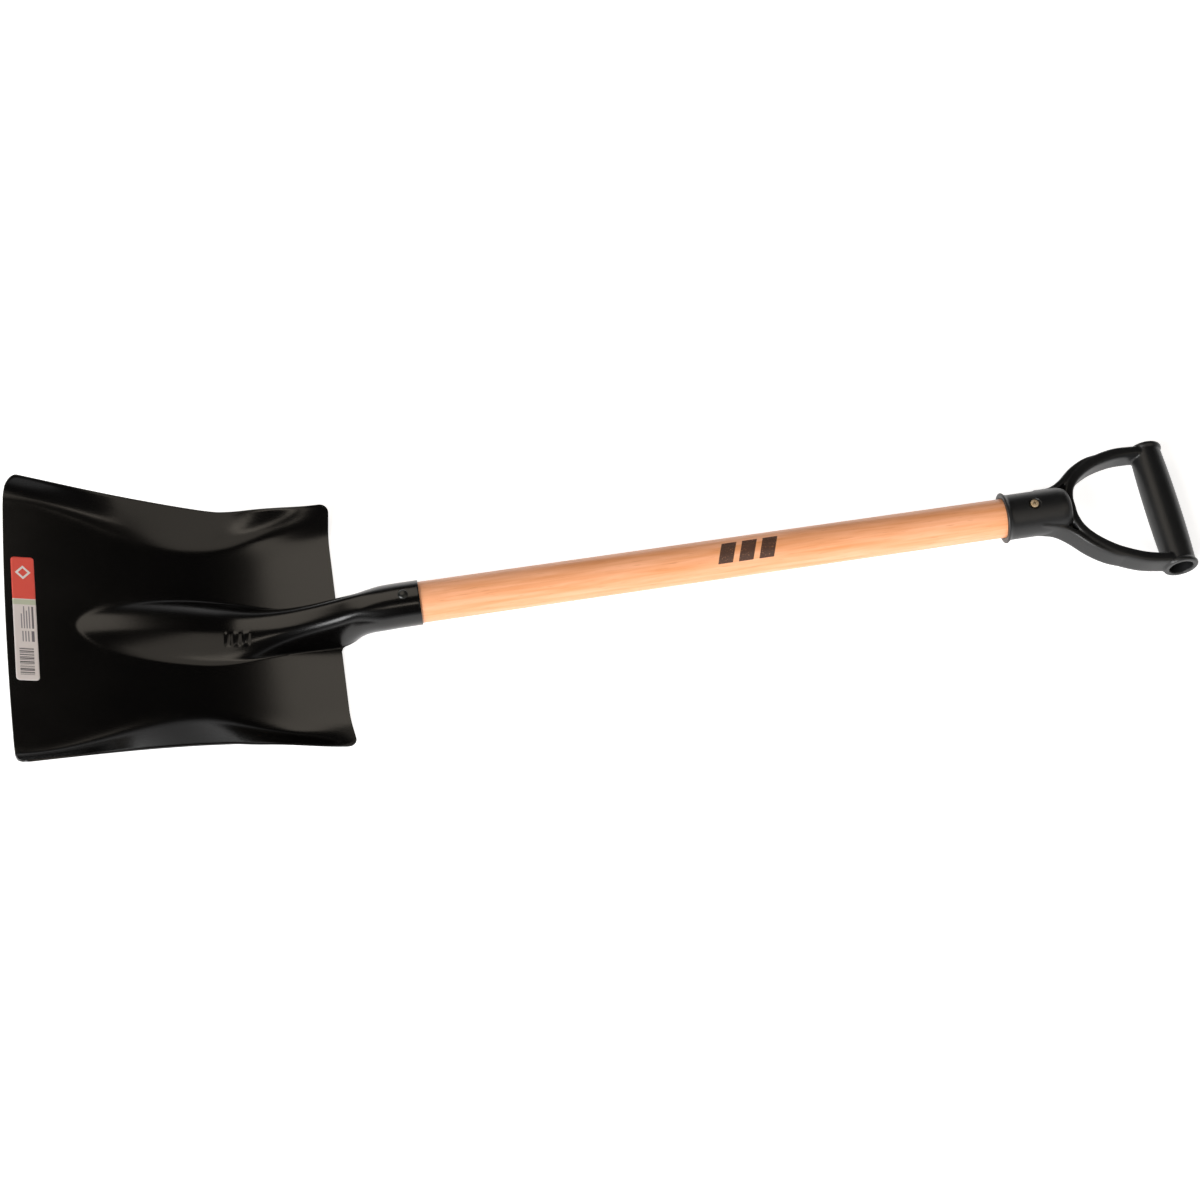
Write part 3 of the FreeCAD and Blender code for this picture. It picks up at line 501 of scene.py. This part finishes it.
def tongueRow(progress):
    # from the arch at the rear edge to the round tube, the legs folding in below
    count = mesh["ridgeColumns"]
    fillet, rear = blade["tongueFillet"], blade["length"]
    gap = max(fillet - blade["legPath"] * progress, 0)
    leg = ridgeHalfWidth(rear) + blade["tongueMargin"] + fillet - math.sqrt(fillet ** 2 - gap ** 2)
    half = evenly(rear, 0, leg, count)
    before = evenly(rear - 1, 0, leg, count)
    centre, angle = neckPoint(blade["tubeStart"])
    forward = Vector((math.cos(angle), 0, math.sin(angle)))
    row = []
    for column in range(-count, count + 1):
        y = math.copysign(half[abs(column)], column)
        start = panPoint(rear, y)
        startWay = (start - panPoint(rear - 1, math.copysign(before[abs(column)], column))).normalized()
        end = tubePoint(blade["tubeStart"], column / count)
        reach = (end - start).length
        t = progress
        point = start * (2 * t ** 3 - 3 * t ** 2 + 1) + end * (3 * t ** 2 - 2 * t ** 3)
        point += startWay * reach * (t ** 3 - 2 * t ** 2 + t) + forward * reach * (t ** 3 - t ** 2)
        row.append(point)
    return row


def tubePoint(distance, share):
    centre, angle = neckPoint(distance)
    normal = Vector((-math.sin(angle), 0, math.cos(angle)))
    slit = math.asin(blade["seamWidth"] / 2 / blade["socketRadius"])
    around = share * (math.pi - slit)
    return centre + (normal * math.cos(around) + across * math.sin(around)) * blade["socketRadius"]


def makeBlade(material):
    pan = sheetFrom([bladeRow(x) for x in bladeStations()])
    steps = mesh["tongueRows"]
    rows = [tongueRow((step / steps) ** mesh["tongueCrowding"]) for step in range(steps + 1)]
    count = mesh["ridgeColumns"]
    for step in range(1, mesh["tubeRows"] + 1):
        distance = blade["tubeStart"] * (1 - step / mesh["tubeRows"])
        rows.append([tubePoint(distance, column / count) for column in range(-count, count + 1)])
    tongue = bpy.data.meshes.new("tongue")
    sheetFrom(rows).to_mesh(tongue)
    pan.from_mesh(tongue)
    bpy.data.meshes.remove(tongue)
    bmesh.ops.remove_doubles(pan, verts=pan.verts, dist=mesh["weld"])
    bmesh.ops.recalc_face_normals(pan, faces=pan.faces)
    if sum(face.normal.z for face in pan.faces) < 0:
        bmesh.ops.reverse_faces(pan, faces=pan.faces)
    piece = newPiece("bladeAndSocket", pan, bladePlace, "blade", [material])
    addModifier(piece, "SOLIDIFY", {"thickness": blade["thickness"] / 1000, "offset": -1})
    addModifier(piece, "BEVEL", {"width": blade["edgeRound"] / 1000, "segments": 2, "limit_method": "ANGLE",
                                 "angle_limit": math.radians(mesh["sharpAngle"])})
    print("blade made", len(piece.data.polygons), "faces")


# stations from the socket's mouth, the land is the straight part for a clip
shaft = {"tipRadius": 10.5, "tip": -56.0, "taperEnd": -18, "chamfer": 1, "socketRadius": 18.35,
         "middleRadius": 18.0, "landStart": 205, "landMiddle": 265, "landEnd": 325, "gripRadius": 17.6,
         "collar": 527, "end": 582.0, "ringStep": 15, "steps": 96}


def makeShaft(material):
    low, middle, high = shaft["socketRadius"], shaft["middleRadius"], shaft["gripRadius"]
    tip, end, chamfer, step = shaft["tip"], shaft["end"], shaft["chamfer"], shaft["ringStep"]
    landStart, landEnd, collar = shaft["landStart"], shaft["landEnd"], shaft["collar"]
    profile = [(tip, 0), (tip, shaft["tipRadius"] - chamfer), (tip + chamfer, shaft["tipRadius"]),
               (shaft["taperEnd"], low), (0, low)]
    profile += [(place, low - (low - middle) * place / landStart) for place in range(step, landStart, step)]
    profile += [(landStart, middle), (shaft["landMiddle"], middle), (landEnd, middle)]
    profile += [(place, middle - (middle - high) * (place - landEnd) / (collar - landEnd))
                for place in range(landEnd + step, collar, step)]
    profile += [(collar, high), (end - chamfer, high), (end, high - chamfer), (end, 0)]
    newPiece("woodenShaft", turned(profile, shaft["steps"]), shaftPlace, "shaft", [material])
    print("shaft made")


grip = {
    "collarRadius": 20.4, "lipRadius": 23.0, "boreRadius": 17.65, "boreDepth": 55.0,
    "frameOffset": 3.0, "frameDepth": 11.0, "barStation": 137.0, "barHalf": 63.0, "barRadius": 15.6,
    "barEndRadius": 14.3, "rimRadius": 15.8, "hollowRadius": 11.0, "screwStation": 27.0,
    "recessRadius": 5.6, "recessDepth": 1.3, "voxel": 0.00085,
    "ribDepth": 10.0, "webDepth": 4.2, "webOverlap": 0.5, "edge": 0.8, "rimWidth": 4.0, "crownMargin": 4.5,
    "crownSteps": 12, "hollowSteps": 8, "strapReach": 12.6, "strapSide": 40,    # strap ends inside the bar
    # outside of the collar: station from its mouth, step out from the lip's or the wall's radius
    "lipOutline": [(0, -0.8), (0.8, 0), (1.8, 0)],
    "wallOutline": [(3.2, 1.0), (5.0, 0.1), (8, 0), (52, 0), (56.5, -0.7), (59.5, -2.6), (61.5, -6), (62, -10)],
    # half of each path in the canted plane: station from the bend, side, half thickness
    "strap": [(42.6, 0, 4.4), (43.0, 10.5, 4.4), (47.4, 22.4, 4.5), (58.2, 34.4, 4.8), (75.8, 45.9, 5.4),
              (98.6, 53.8, 5.5), (118.0, 56.2, 5.1), (130.0, 56.4, 4.9)],
    "rib": [(10.0, 16.5, 2.6), (26.0, 18.6, 2.8), (38.8, 25.6, 2.9), (53.4, 38.2, 3.0), (68.0, 47.0, 3.0),
            (82.0, 51.6, 2.6), (94.0, 53.6, 1.6)],
    "webInside": [(42.6, 0), (43.0, 10.5), (47.4, 22.4), (58.2, 34.4), (68.0, 41.5)],
    "webOutside": [(34.0, 0), (34.0, 12.0), (38.0, 24.5), (53.4, 38.2), (68.0, 46.0)],
}


def smoothPath(points, count):
    # Catmull-Rom through the points
    points = [Vector(point) for point in points]
    padded = [points[0] * 2 - points[1]] + points + [points[-1] * 2 - points[-2]]
    path = []
    for step in range(count + 1):
        place = step / count * (len(points) - 1)
        index = min(int(place), len(points) - 2)
        t = place - index
        a, b, c, d = padded[index:index + 4]
        path.append((b * 2 + (c - a) * t + (a * 2 - b * 5 + c * 4 - d) * t ** 2
                     + (b * 3 - a - c * 3 + d) * t ** 3) / 2)
    return path


def roundedRing(centre, side, halfSide, halfDepth, power=5, count=28):
    ring = []
    for step in range(count):
        angle = 2 * math.pi * step / count
        c, s = math.cos(angle), math.sin(angle)
        over = math.copysign(abs(c) ** (2 / power), c) * halfSide
        up = math.copysign(abs(s) ** (2 / power), s) * halfDepth
        ring.append(centre + side * over + Vector((0, 0, up)))
    return ring


def sweptBar(points, depth, low, onBar=False):
    # flat strap along a path in the canted plane
    path = smoothPath(points, 8 * (len(points) - 1))
    rings = []
    for index, place in enumerate(path):
        before, after = path[max(index - 1, 0)], path[min(index + 1, len(path) - 1)]
        way = Vector((after.x - before.x, after.y - before.y, 0)).normalized()
        side = Vector((-way.y, way.x, 0))
        rings.append(roundedRing(Vector((place.x, place.y, low)), side, place.z, depth))
    if onBar:
        for ring in (rings[0], rings[-1]):
            if abs(ring[0].y) > grip["strapSide"]:
                for point in ring:
                    reach = max(grip["strapReach"] ** 2 - (point.z - low) ** 2, 0)
                    point.x = grip["barStation"] - math.sqrt(reach)
    return closeEnds(sheetFrom(rings, closed=True))


def webPlate(mirror):
    inside = smoothPath([(x, y * mirror, 0) for x, y in grip["webInside"]], 24)
    outside = smoothPath([(x, y * mirror, 0) for x, y in grip["webOutside"]], 24)
    rings = []
    for near, far in zip(inside, outside):
        side = near - far
        centre = (near + far) / 2 + Vector((0, 0, grip["frameOffset"]))
        rings.append(roundedRing(centre, side.normalized(), side.length / 2 + grip["webOverlap"],
                                 grip["webDepth"]))
    return closeEnds(sheetFrom(rings, closed=True))


def merged(target, source, place):
    bmesh.ops.transform(source, matrix=place, verts=source.verts)
    temporary = bpy.data.meshes.new("temporary")
    source.to_mesh(temporary)
    source.free()
    target.from_mesh(temporary)
    bpy.data.meshes.remove(temporary)


def makeGrip(material):
    fromCollar = collarPlace.inverted() @ gripPlace
    toCollar = Matrix.Scale(1000, 4) @ fromCollar @ toMetres
    bore, lip, wall, edge = grip["boreRadius"], grip["lipRadius"], grip["collarRadius"], grip["edge"]
    profile = [(grip["boreDepth"], 0), (grip["boreDepth"], bore), (edge, bore), (0, bore + edge)]
    profile += [(place, lip + out) for place, out in grip["lipOutline"]]
    profile += [(place, wall + out) for place, out in grip["wallOutline"]]
    collar = turned(profile + [(grip["wallOutline"][-1][0], 0)], 96)
    whole = bmesh.new()
    merged(whole, collar, Matrix.Identity(4))
    strapHalf = grip["strap"]
    strap = [(x, -y, t) for x, y, t in reversed(strapHalf[1:])] + list(strapHalf)
    merged(whole, sweptBar(strap, grip["frameDepth"], grip["frameOffset"], True), toCollar)
    for mirror in (1, -1):
        rib = [(x, y * mirror, t) for x, y, t in grip["rib"]]
        merged(whole, sweptBar(rib, grip["ribDepth"], grip["frameOffset"]), toCollar)
        merged(whole, webPlate(mirror), toCollar)
    half, rim, end = grip["barHalf"], grip["rimRadius"], grip["barEndRadius"]
    rimWidth, steps, hollowSteps = grip["rimWidth"], grip["crownSteps"], grip["hollowSteps"]
    crown = []
    for step in range(-steps, steps + 1):
        y = (half - grip["crownMargin"]) * step / steps
        crown.append((y, end + (grip["barRadius"] - end) * (1 - (step / steps) ** 2)))
    inner = [(y * half / hollowSteps, grip["hollowRadius"]) for y in range(hollowSteps, -hollowSteps - 1, -1)]
    ringStart = [(-half, rim - edge), (-half + edge, rim), (-half + (rimWidth - edge), rim),
                 (-half + rimWidth, rim - edge)]
    profile = ringStart + crown + [(-place, radius) for place, radius in reversed(ringStart)] + inner
    bar = turned(profile, 72, axis=(0, 1, 0), loop=True)
    barPlace = toCollar @ Matrix.Translation((grip["barStation"], 0, grip["frameOffset"]))
    merged(whole, bar, barPlace)
    piece = newPiece("mouldedGrip", whole, collarPlace, "grip", [material])
    recess = turned([(wall - grip["recessDepth"], 0), (wall - grip["recessDepth"], grip["recessRadius"]),
                     (wall + 5, grip["recessRadius"]), (wall + 5, 0)], 48, axis=(0, 1, 0))
    upright = Matrix.Translation((grip["screwStation"] / 1000, 0, 0)) @ Matrix.Rotation(math.pi / 2, 4, "X")
    bmesh.ops.transform(recess, matrix=collarPlace @ upright @ toMetres, verts=recess.verts)
    cutterMesh = bpy.data.meshes.new("recessCutter")
    recess.to_mesh(cutterMesh)
    recess.free()
    cutter = bpy.data.objects.new("recessCutter", cutterMesh)
    scene.collection.objects.link(cutter)
    addModifier(piece, "REMESH", {"mode": "VOXEL", "voxel_size": grip["voxel"]})
    addModifier(piece, "SMOOTH", {"factor": 0.5, "iterations": 4})
    addModifier(piece, "BOOLEAN", {"object": cutter, "operation": "DIFFERENCE", "solver": "EXACT"})
    applied(piece)
    bpy.data.meshes.remove(cutterMesh)
    piece.data.materials.clear()
    piece.data.materials.append(material)
    print("grip made", len(piece.data.polygons), "faces")


screw = {"headRadius": 3.7, "headHeight": 2.0, "domeShare": 0.45, "domeSteps": 6, "edge": 0.15,
         "shankRadius": 1.9, "length": 24.0, "point": 4, "crossLength": 3.8, "crossWidth": 1.0,
         "crossDepth": 1.3, "crossTurn": 0.3, "sharpAngle": 35}
rivet = {"station": -14.0, "shankRadius": 2.5, "headRadius": 4.6, "headHeight": 1.9, "headSink": 0.3,
         "seat": 0.6, "edge": 0.1, "domeSteps": 6, "washerRadius": 8.0, "washerThickness": 1.2,
         "washerGap": 0.1, "washerEdge": 0.3}


def makeScrew(material):
    seat = grip["collarRadius"] - grip["recessDepth"]
    radius, height = screw["headRadius"], screw["headHeight"]
    edge, shank, bottom, share = screw["edge"], screw["shankRadius"], seat - screw["length"], screw["domeShare"]
    arc = [math.pi / 2 * step / screw["domeSteps"] for step in range(screw["domeSteps"] + 1)]
    dome = [(seat + height * (1 - share + share * math.cos(angle)), radius * math.sin(angle)) for angle in arc]
    profile = dome + [(seat + edge, radius), (seat, radius - edge), (seat, shank),
                      (bottom + screw["point"], shank), (bottom, 0)]
    bm = turned(profile, 40, axis=(0, 1, 0))
    station = (layout["freeWood"] * 1000 + grip["screwStation"]) / 1000
    upright = shaftPlace @ Matrix.Translation((station, 0, 0)) @ Matrix.Rotation(math.pi / 2, 4, "X")
    piece = newPiece("gripScrew", bm, upright, "grip_screw", [material])
    cross = bmesh.new()
    for turn in (screw["crossTurn"], screw["crossTurn"] + math.pi / 2):
        arm = bmesh.ops.create_cube(cross, size=1)["verts"]
        size = (screw["crossLength"], 2 * screw["crossDepth"], screw["crossWidth"])
        bmesh.ops.scale(cross, vec=size, verts=arm)
        bmesh.ops.rotate(cross, cent=(0, 0, 0), matrix=Matrix.Rotation(turn, 3, "Y"), verts=arm)
    bmesh.ops.translate(cross, vec=(0, seat + height, 0), verts=cross.verts)
    bmesh.ops.transform(cross, matrix=upright @ toMetres, verts=cross.verts)
    crossMesh = bpy.data.meshes.new("crossCutter")
    cross.to_mesh(crossMesh)
    cross.free()
    cutter = bpy.data.objects.new("crossCutter", crossMesh)
    scene.collection.objects.link(cutter)
    addModifier(piece, "BOOLEAN", {"object": cutter, "operation": "DIFFERENCE", "solver": "EXACT",
                                   "use_self": True})
    applied(piece)
    bpy.data.meshes.remove(crossMesh)
    piece.data.set_sharp_from_angle(angle=math.radians(screw["sharpAngle"]))
    print("screw made", len(piece.data.polygons), "faces")


def makeRivet(material):
    outer, radius, height = blade["socketRadius"], rivet["headRadius"], rivet["headHeight"]
    back, seat = outer + rivet["washerThickness"], outer - rivet["seat"]
    sink, edge = rivet["headSink"], rivet["edge"]
    arc = [math.pi / 2 * step / rivet["domeSteps"] for step in range(rivet["domeSteps"] + 1)]
    profile = [(outer - sink + (height + sink) * math.cos(angle), radius * math.sin(angle)) for angle in arc]
    profile += [(seat, radius - edge), (seat, rivet["shankRadius"]), (-back, rivet["shankRadius"]),
                (-back, radius - edge)]
    profile += [(-back - height * math.cos(angle), radius * math.sin(angle)) for angle in reversed(arc)]
    bm = turned(profile, 40, axis=(0, 1, 0))
    place = shaftPlace @ Matrix.Translation((rivet["station"] / 1000, 0, 0))
    upright = place @ Matrix.Rotation(math.pi / 2, 4, "X")
    newPiece("socketRivet", bm, upright, "socket_rivet", [material])
    print("rivet made")


def makeWasher(material):
    # disc bent to the socket's back
    inner, outer = rivet["shankRadius"] + rivet["washerGap"], rivet["washerRadius"]
    rows = [[Vector((math.cos(angle) * reach, math.sin(angle) * reach, 0))
             for angle in [2 * math.pi * step / 48 for step in range(48)]]
            for reach in [inner + (outer - inner) * step / 8 for step in range(9)]]
    bm = sheetFrom(rows, closed=True)
    for vertex in bm.verts:
        vertex.co.z = -math.sqrt(blade["socketRadius"] ** 2 - vertex.co.y ** 2)
    bmesh.ops.recalc_face_normals(bm, faces=bm.faces)
    if sum(face.normal.z for face in bm.faces) < 0:
        bmesh.ops.reverse_faces(bm, faces=bm.faces)
    place = shaftPlace @ Matrix.Translation((rivet["station"] / 1000, 0, 0))
    piece = newPiece("rivetWasher", bm, place, "rivet_washer", [material])
    addModifier(piece, "SOLIDIFY", {"thickness": rivet["washerThickness"] / 1000, "offset": -1})
    addModifier(piece, "BEVEL", {"width": rivet["washerEdge"] / 1000, "segments": 2, "limit_method": "ANGLE",
                                 "angle_limit": math.radians(mesh["sharpAngle"])})
    print("washer made")


label = {"halfAcross": 9.75, "halfAlong": 59.0, "station": 13.7, "shift": 4.5, "corner": 3.0, "thickness": 0.15,
         "top": 0.17, "lift": 0.35, "liftStart": 0.8, "columns": 10, "rows": 48,
         "diamondAt": 44, "diamondSize": 5.4, "diamondLine": 1.3,
         "barsAt": -41.0, "barsHalfAlong": 13.0, "barsHalfAcross": 6.0}
# printed areas: place along and across the label, half sizes, colour
prints = [
    (38.8, 0, 20.4, 9.8, "#ee5a4e"), (15.2, 0, 2.4, 9.8, "#c9cfbb"),
    (0.5, 6.4, 10.5, 0.8, "#6f6a70"), (0.5, 3.6, 10.5, 0.5, "#8d8890"), (-1.5, 1.4, 8.5, 0.5, "#8d8890"),
    (0.5, -0.8, 10.5, 0.5, "#8d8890"), (-3.0, -3.0, 7.0, 0.5, "#8d8890"), (-17.5, 6.0, 5.0, 1.2, "#77727a"),
    (-17.5, 2.4, 5.0, 0.5, "#8d8890"), (-17.5, 0, 5.0, 0.5, "#8d8890"), (-17.5, -2.4, 5.0, 0.5, "#8d8890"),
]


def labelMaterial():
    # coated paper sticker: white with a red head and grey rules, slightly glossy, soft waves from the glue
    material, tree, shader = newMaterial("coatedPaperSticker")
    coords = addNode(tree, "ShaderNodeTexCoord", {}).outputs["Object"]
    middle = bladePlace @ Vector((label["station"] / 1000, label["shift"] / 1000, 0))
    local = addNode(tree, "ShaderNodeMapping",
                    {"vector_type": "TEXTURE", "Location": middle, "Rotation": (0, panTilt, 0),
                     "Scale": (0.001,) * 3},
                    {"Vector": coords}).outputs["Vector"]
    parts = addNode(tree, "ShaderNodeSeparateXYZ", {}, {"Vector": local})
    color = addNode(tree, "ShaderNodeRGB", {}).outputs[0]
    color.default_value = hexColor("#e9e2e2")
    for u, v, halfU, halfV, paint in prints:
        offset = addNode(tree, "ShaderNodeVectorMath", {"operation": "SUBTRACT", 1: (v, u, 0)}, {0: local})
        scaled = addNode(tree, "ShaderNodeVectorMath", {"operation": "DIVIDE", 1: (halfV, halfU, 1e6)},
                         {0: offset.outputs[0]})
        size = addNode(tree, "ShaderNodeVectorMath", {"operation": "ABSOLUTE"}, {0: scaled.outputs[0]})
        sides = addNode(tree, "ShaderNodeSeparateXYZ", {}, {0: size.outputs[0]})
        larger = addNode(tree, "ShaderNodeMath", {"operation": "MAXIMUM"},
                         {0: sides.outputs[0], 1: sides.outputs[1]})
        inside = addNode(tree, "ShaderNodeMath", {"operation": "LESS_THAN", 1: 1.0}, {0: larger.outputs[0]})
        mix = addNode(tree, "ShaderNodeMix", {"data_type": "RGBA"}, {0: inside.outputs[0], 6: color})
        mix.inputs[7].default_value = hexColor(paint)
        color = mix.outputs[2]
    # white diamond on the red head
    offset = addNode(tree, "ShaderNodeVectorMath", {"operation": "SUBTRACT", 1: (0, label["diamondAt"], 0)},
                     {0: local})
    size = addNode(tree, "ShaderNodeVectorMath", {"operation": "ABSOLUTE"}, {0: offset.outputs[0]})
    sides = addNode(tree, "ShaderNodeSeparateXYZ", {}, {0: size.outputs[0]})
    total = addNode(tree, "ShaderNodeMath", {"operation": "ADD"}, {0: sides.outputs[0], 1: sides.outputs[1]})
    away = addNode(tree, "ShaderNodeMath", {"operation": "SUBTRACT", 1: label["diamondSize"]},
                   {0: total.outputs[0]})
    ring = addNode(tree, "ShaderNodeMath", {"operation": "ABSOLUTE"}, {0: away.outputs[0]})
    inside = addNode(tree, "ShaderNodeMath", {"operation": "LESS_THAN", 1: label["diamondLine"]},
                     {0: ring.outputs[0]})
    mix = addNode(tree, "ShaderNodeMix", {"data_type": "RGBA"}, {0: inside.outputs[0], 6: color})
    mix.inputs[7].default_value = hexColor("#f2ecec")
    color = mix.outputs[2]
    # bar pattern at the other end
    bars = addNode(tree, "ShaderNodeTexNoise", {"noise_dimensions": "1D", "Scale": 0.9, "Detail": 0.0},
                   {"W": parts.outputs["Y"]})
    dark = addNode(tree, "ShaderNodeMath", {"operation": "GREATER_THAN", 1: 0.5}, {0: bars.outputs[0]})
    fromEnd = addNode(tree, "ShaderNodeMath", {"operation": "ADD", 1: -label["barsAt"]},
                      {0: parts.outputs["Y"]})
    length = addNode(tree, "ShaderNodeMath", {"operation": "ABSOLUTE"}, {0: fromEnd.outputs[0]})
    inLength = addNode(tree, "ShaderNodeMath", {"operation": "LESS_THAN", 1: label["barsHalfAlong"]},
                       {0: length.outputs[0]})
    width = addNode(tree, "ShaderNodeMath", {"operation": "ABSOLUTE"}, {0: parts.outputs["X"]})
    inWidth = addNode(tree, "ShaderNodeMath", {"operation": "LESS_THAN", 1: label["barsHalfAcross"]},
                      {0: width.outputs[0]})
    both = addNode(tree, "ShaderNodeMath", {"operation": "MULTIPLY"},
                   {0: inLength.outputs[0], 1: inWidth.outputs[0]})
    mask = addNode(tree, "ShaderNodeMath", {"operation": "MULTIPLY"}, {0: both.outputs[0], 1: dark.outputs[0]})
    mix = addNode(tree, "ShaderNodeMix", {"data_type": "RGBA"}, {0: mask.outputs[0], 6: color})
    mix.inputs[7].default_value = hexColor("#59555c")
    wave = addNode(tree, "ShaderNodeTexNoise", {"Scale": 90.0, "Detail": 2.0}, {"Vector": coords})
    bump = addNode(tree, "ShaderNodeBump", {"Strength": 0.25, "Distance": 0.0005},
                   {"Height": wave.outputs["Fac"]})
    tree.links.new(mix.outputs[2], shader.inputs["Base Color"])
    tree.links.new(bump.outputs["Normal"], shader.inputs["Normal"])
    shader.inputs["Roughness"].default_value = 0.38
    return material


def makeLabel(material):
    wide, long, corner = label["halfAcross"], label["halfAlong"], label["corner"]
    columns, count, start = label["columns"], label["rows"], label["liftStart"]
    rows = [[Vector((wide * column / columns, long * row / count, 0))
             for column in range(-columns, columns + 1)] for row in range(-count, count + 1)]
    bm = sheetFrom(rows)
    for vertex in bm.verts:
        dx, dy = abs(vertex.co.x) - (wide - corner), abs(vertex.co.y) - (long - corner)
        if dx > 0 and dy > 0:
            shrink = max(dx, dy) / math.hypot(dx, dy)
            vertex.co.x = math.copysign(wide - corner + dx * shrink, vertex.co.x)
            vertex.co.y = math.copysign(long - corner + dy * shrink, vertex.co.y)
        nearEnd = max(abs(vertex.co.y) - start * long, 0) / ((1 - start) * long)
        vertex.co.z = label["top"] + label["lift"] * nearEnd ** 3 * max(vertex.co.x / wide, 0) ** 2
    if sum(face.normal.z for face in bm.faces) < 0:
        bmesh.ops.reverse_faces(bm, faces=bm.faces)
    place = bladePlace @ Matrix.Translation((label["station"] / 1000, label["shift"] / 1000, 0))
    piece = newPiece("paperLabel", bm, place, "label", [material])
    addModifier(piece, "SOLIDIFY", {"thickness": label["thickness"] / 1000, "offset": -1})
    print("label made")


enamel = enamelMaterial()
makeBlade(enamel)
makeShaft(woodMaterial())
makeGrip(gripMaterial())
makeScrew(steelMaterial("yellowZincSteel", "#a8957a", "#80694a", 0.38))
rivetSteel = steelMaterial("enamelledRivetSteel", "#161716", "#0b0d0c", 0.32)
makeRivet(rivetSteel)
makeWasher(rivetSteel)
makeLabel(labelMaterial())
print("pieces made")


studio = {
    "floor": "#d8d8d8", "floorGlow": 0.78, "worldHigh": 0.02, "worldLow": 0.85, "horizon": (0.02, 0.25),
    "warm": (1.0, 0.90, 0.77), "floorSize": 60, "floorGap": 0.0004,
    "key": {"from": (-0.75, -0.6, 0.42), "strength": 4.7, "angle": 45},
    "top": {"at": (-0.40, 0.66, 1.08), "size": (1.0, 1.1), "power": 4.9, "towards": (-0.25, 0, 0.05)},
    "side": {"at": (1.46, -0.90, 2.15), "size": (2.2, 1.5), "power": 9.0, "towards": (-0.38, 0, 0.05)},
    "front": {"at": (-0.25, -1.15, 2.20), "size": (0.9, 0.3), "power": 2.2, "towards": (-0.2, 0, 0.05)},
    "low": {"at": (0.75, -1.50, 1.30), "size": (0.6, 0.4), "power": 1.5, "towards": (0.4, 0, 0.04)},
}
cameraSet = {"at": (-0.20311, -0.90766, 1.77168), "turn": (27.391, -1.261, -9.361), "lens": 66.719}


def makeFloor():
    bm = bmesh.new()
    bmesh.ops.create_grid(bm, x_segments=1, y_segments=1, size=studio["floorSize"])
    bmesh.ops.translate(bm, vec=(0, 0, cadBox[0].z - studio["floorGap"]), verts=bm.verts)
    floorMesh = bpy.data.meshes.new("studioFloor")
    bm.to_mesh(floorMesh)
    bm.free()
    floor = bpy.data.objects.new("studioFloor", floorMesh)
    scene.collection.objects.link(floor)
    material, tree, shader = newMaterial("paleStudioFloor")
    shader.inputs["Base Color"].default_value = hexColor(studio["floor"])
    shader.inputs["Roughness"].default_value = 0.9
    shader.inputs["Emission Color"].default_value = (1, 1, 1, 1)
    shader.inputs["Emission Strength"].default_value = studio["floorGlow"]
    floorMesh.materials.append(material)


def aimed(name, data, at, towards):
    lamp = bpy.data.objects.new(name, data)
    scene.collection.objects.link(lamp)
    lamp.location = at
    lamp.rotation_euler = (Vector(towards) - Vector(at)).to_track_quat("-Z", "Y").to_euler()
    return lamp


def makeLights():
    key = bpy.data.lights.new("keySun", "SUN")
    key.energy = studio["key"]["strength"]
    key.angle = math.radians(studio["key"]["angle"])
    aimed("keySun", key, Vector(studio["key"]["from"]) * 4, (0, 0, 0))
    for name in ("top", "side", "front", "low"):
        box = studio[name]
        lamp = bpy.data.lights.new(name + "Softbox", "AREA")
        lamp.shape = "RECTANGLE"
        lamp.size, lamp.size_y = box["size"]
        lamp.energy = box["power"]
        lamp.color = studio["warm"]
        aimed(name + "Softbox", lamp, box["at"], box["towards"]).visible_camera = False
    world = bpy.data.worlds.new("studioWorld")
    world.use_nodes = True
    # a dark room above, paler towards the horizon
    sky = world.node_tree
    direction = addNode(sky, "ShaderNodeTexCoord", {}).outputs["Generated"]
    height = addNode(sky, "ShaderNodeSeparateXYZ", {}, {"Vector": direction}).outputs["Z"]
    glow = addNode(sky, "ShaderNodeMapRange",
                   {"From Min": studio["horizon"][0], "From Max": studio["horizon"][1],
                    "To Min": studio["worldLow"], "To Max": studio["worldHigh"]}, {"Value": height})
    sky.links.new(glow.outputs["Result"], sky.nodes["Background"].inputs["Strength"])
    sky.nodes["Background"].inputs["Color"].default_value = (1, 1, 1, 1)
    scene.world = world


def makeCamera():
    data = bpy.data.cameras.new("camera")
    data.lens = cameraSet["lens"]
    data.sensor_width = 36
    data.clip_end = 60
    camera = bpy.data.objects.new("camera", data)
    scene.collection.objects.link(camera)
    camera.location = cameraSet["at"]
    camera.rotation_euler = [math.radians(angle) for angle in cameraSet["turn"]]
    scene.camera = camera


makeFloor()
makeLights()
makeCamera()
scene.view_settings.view_transform = "Standard"
print("stage, lights and camera set")
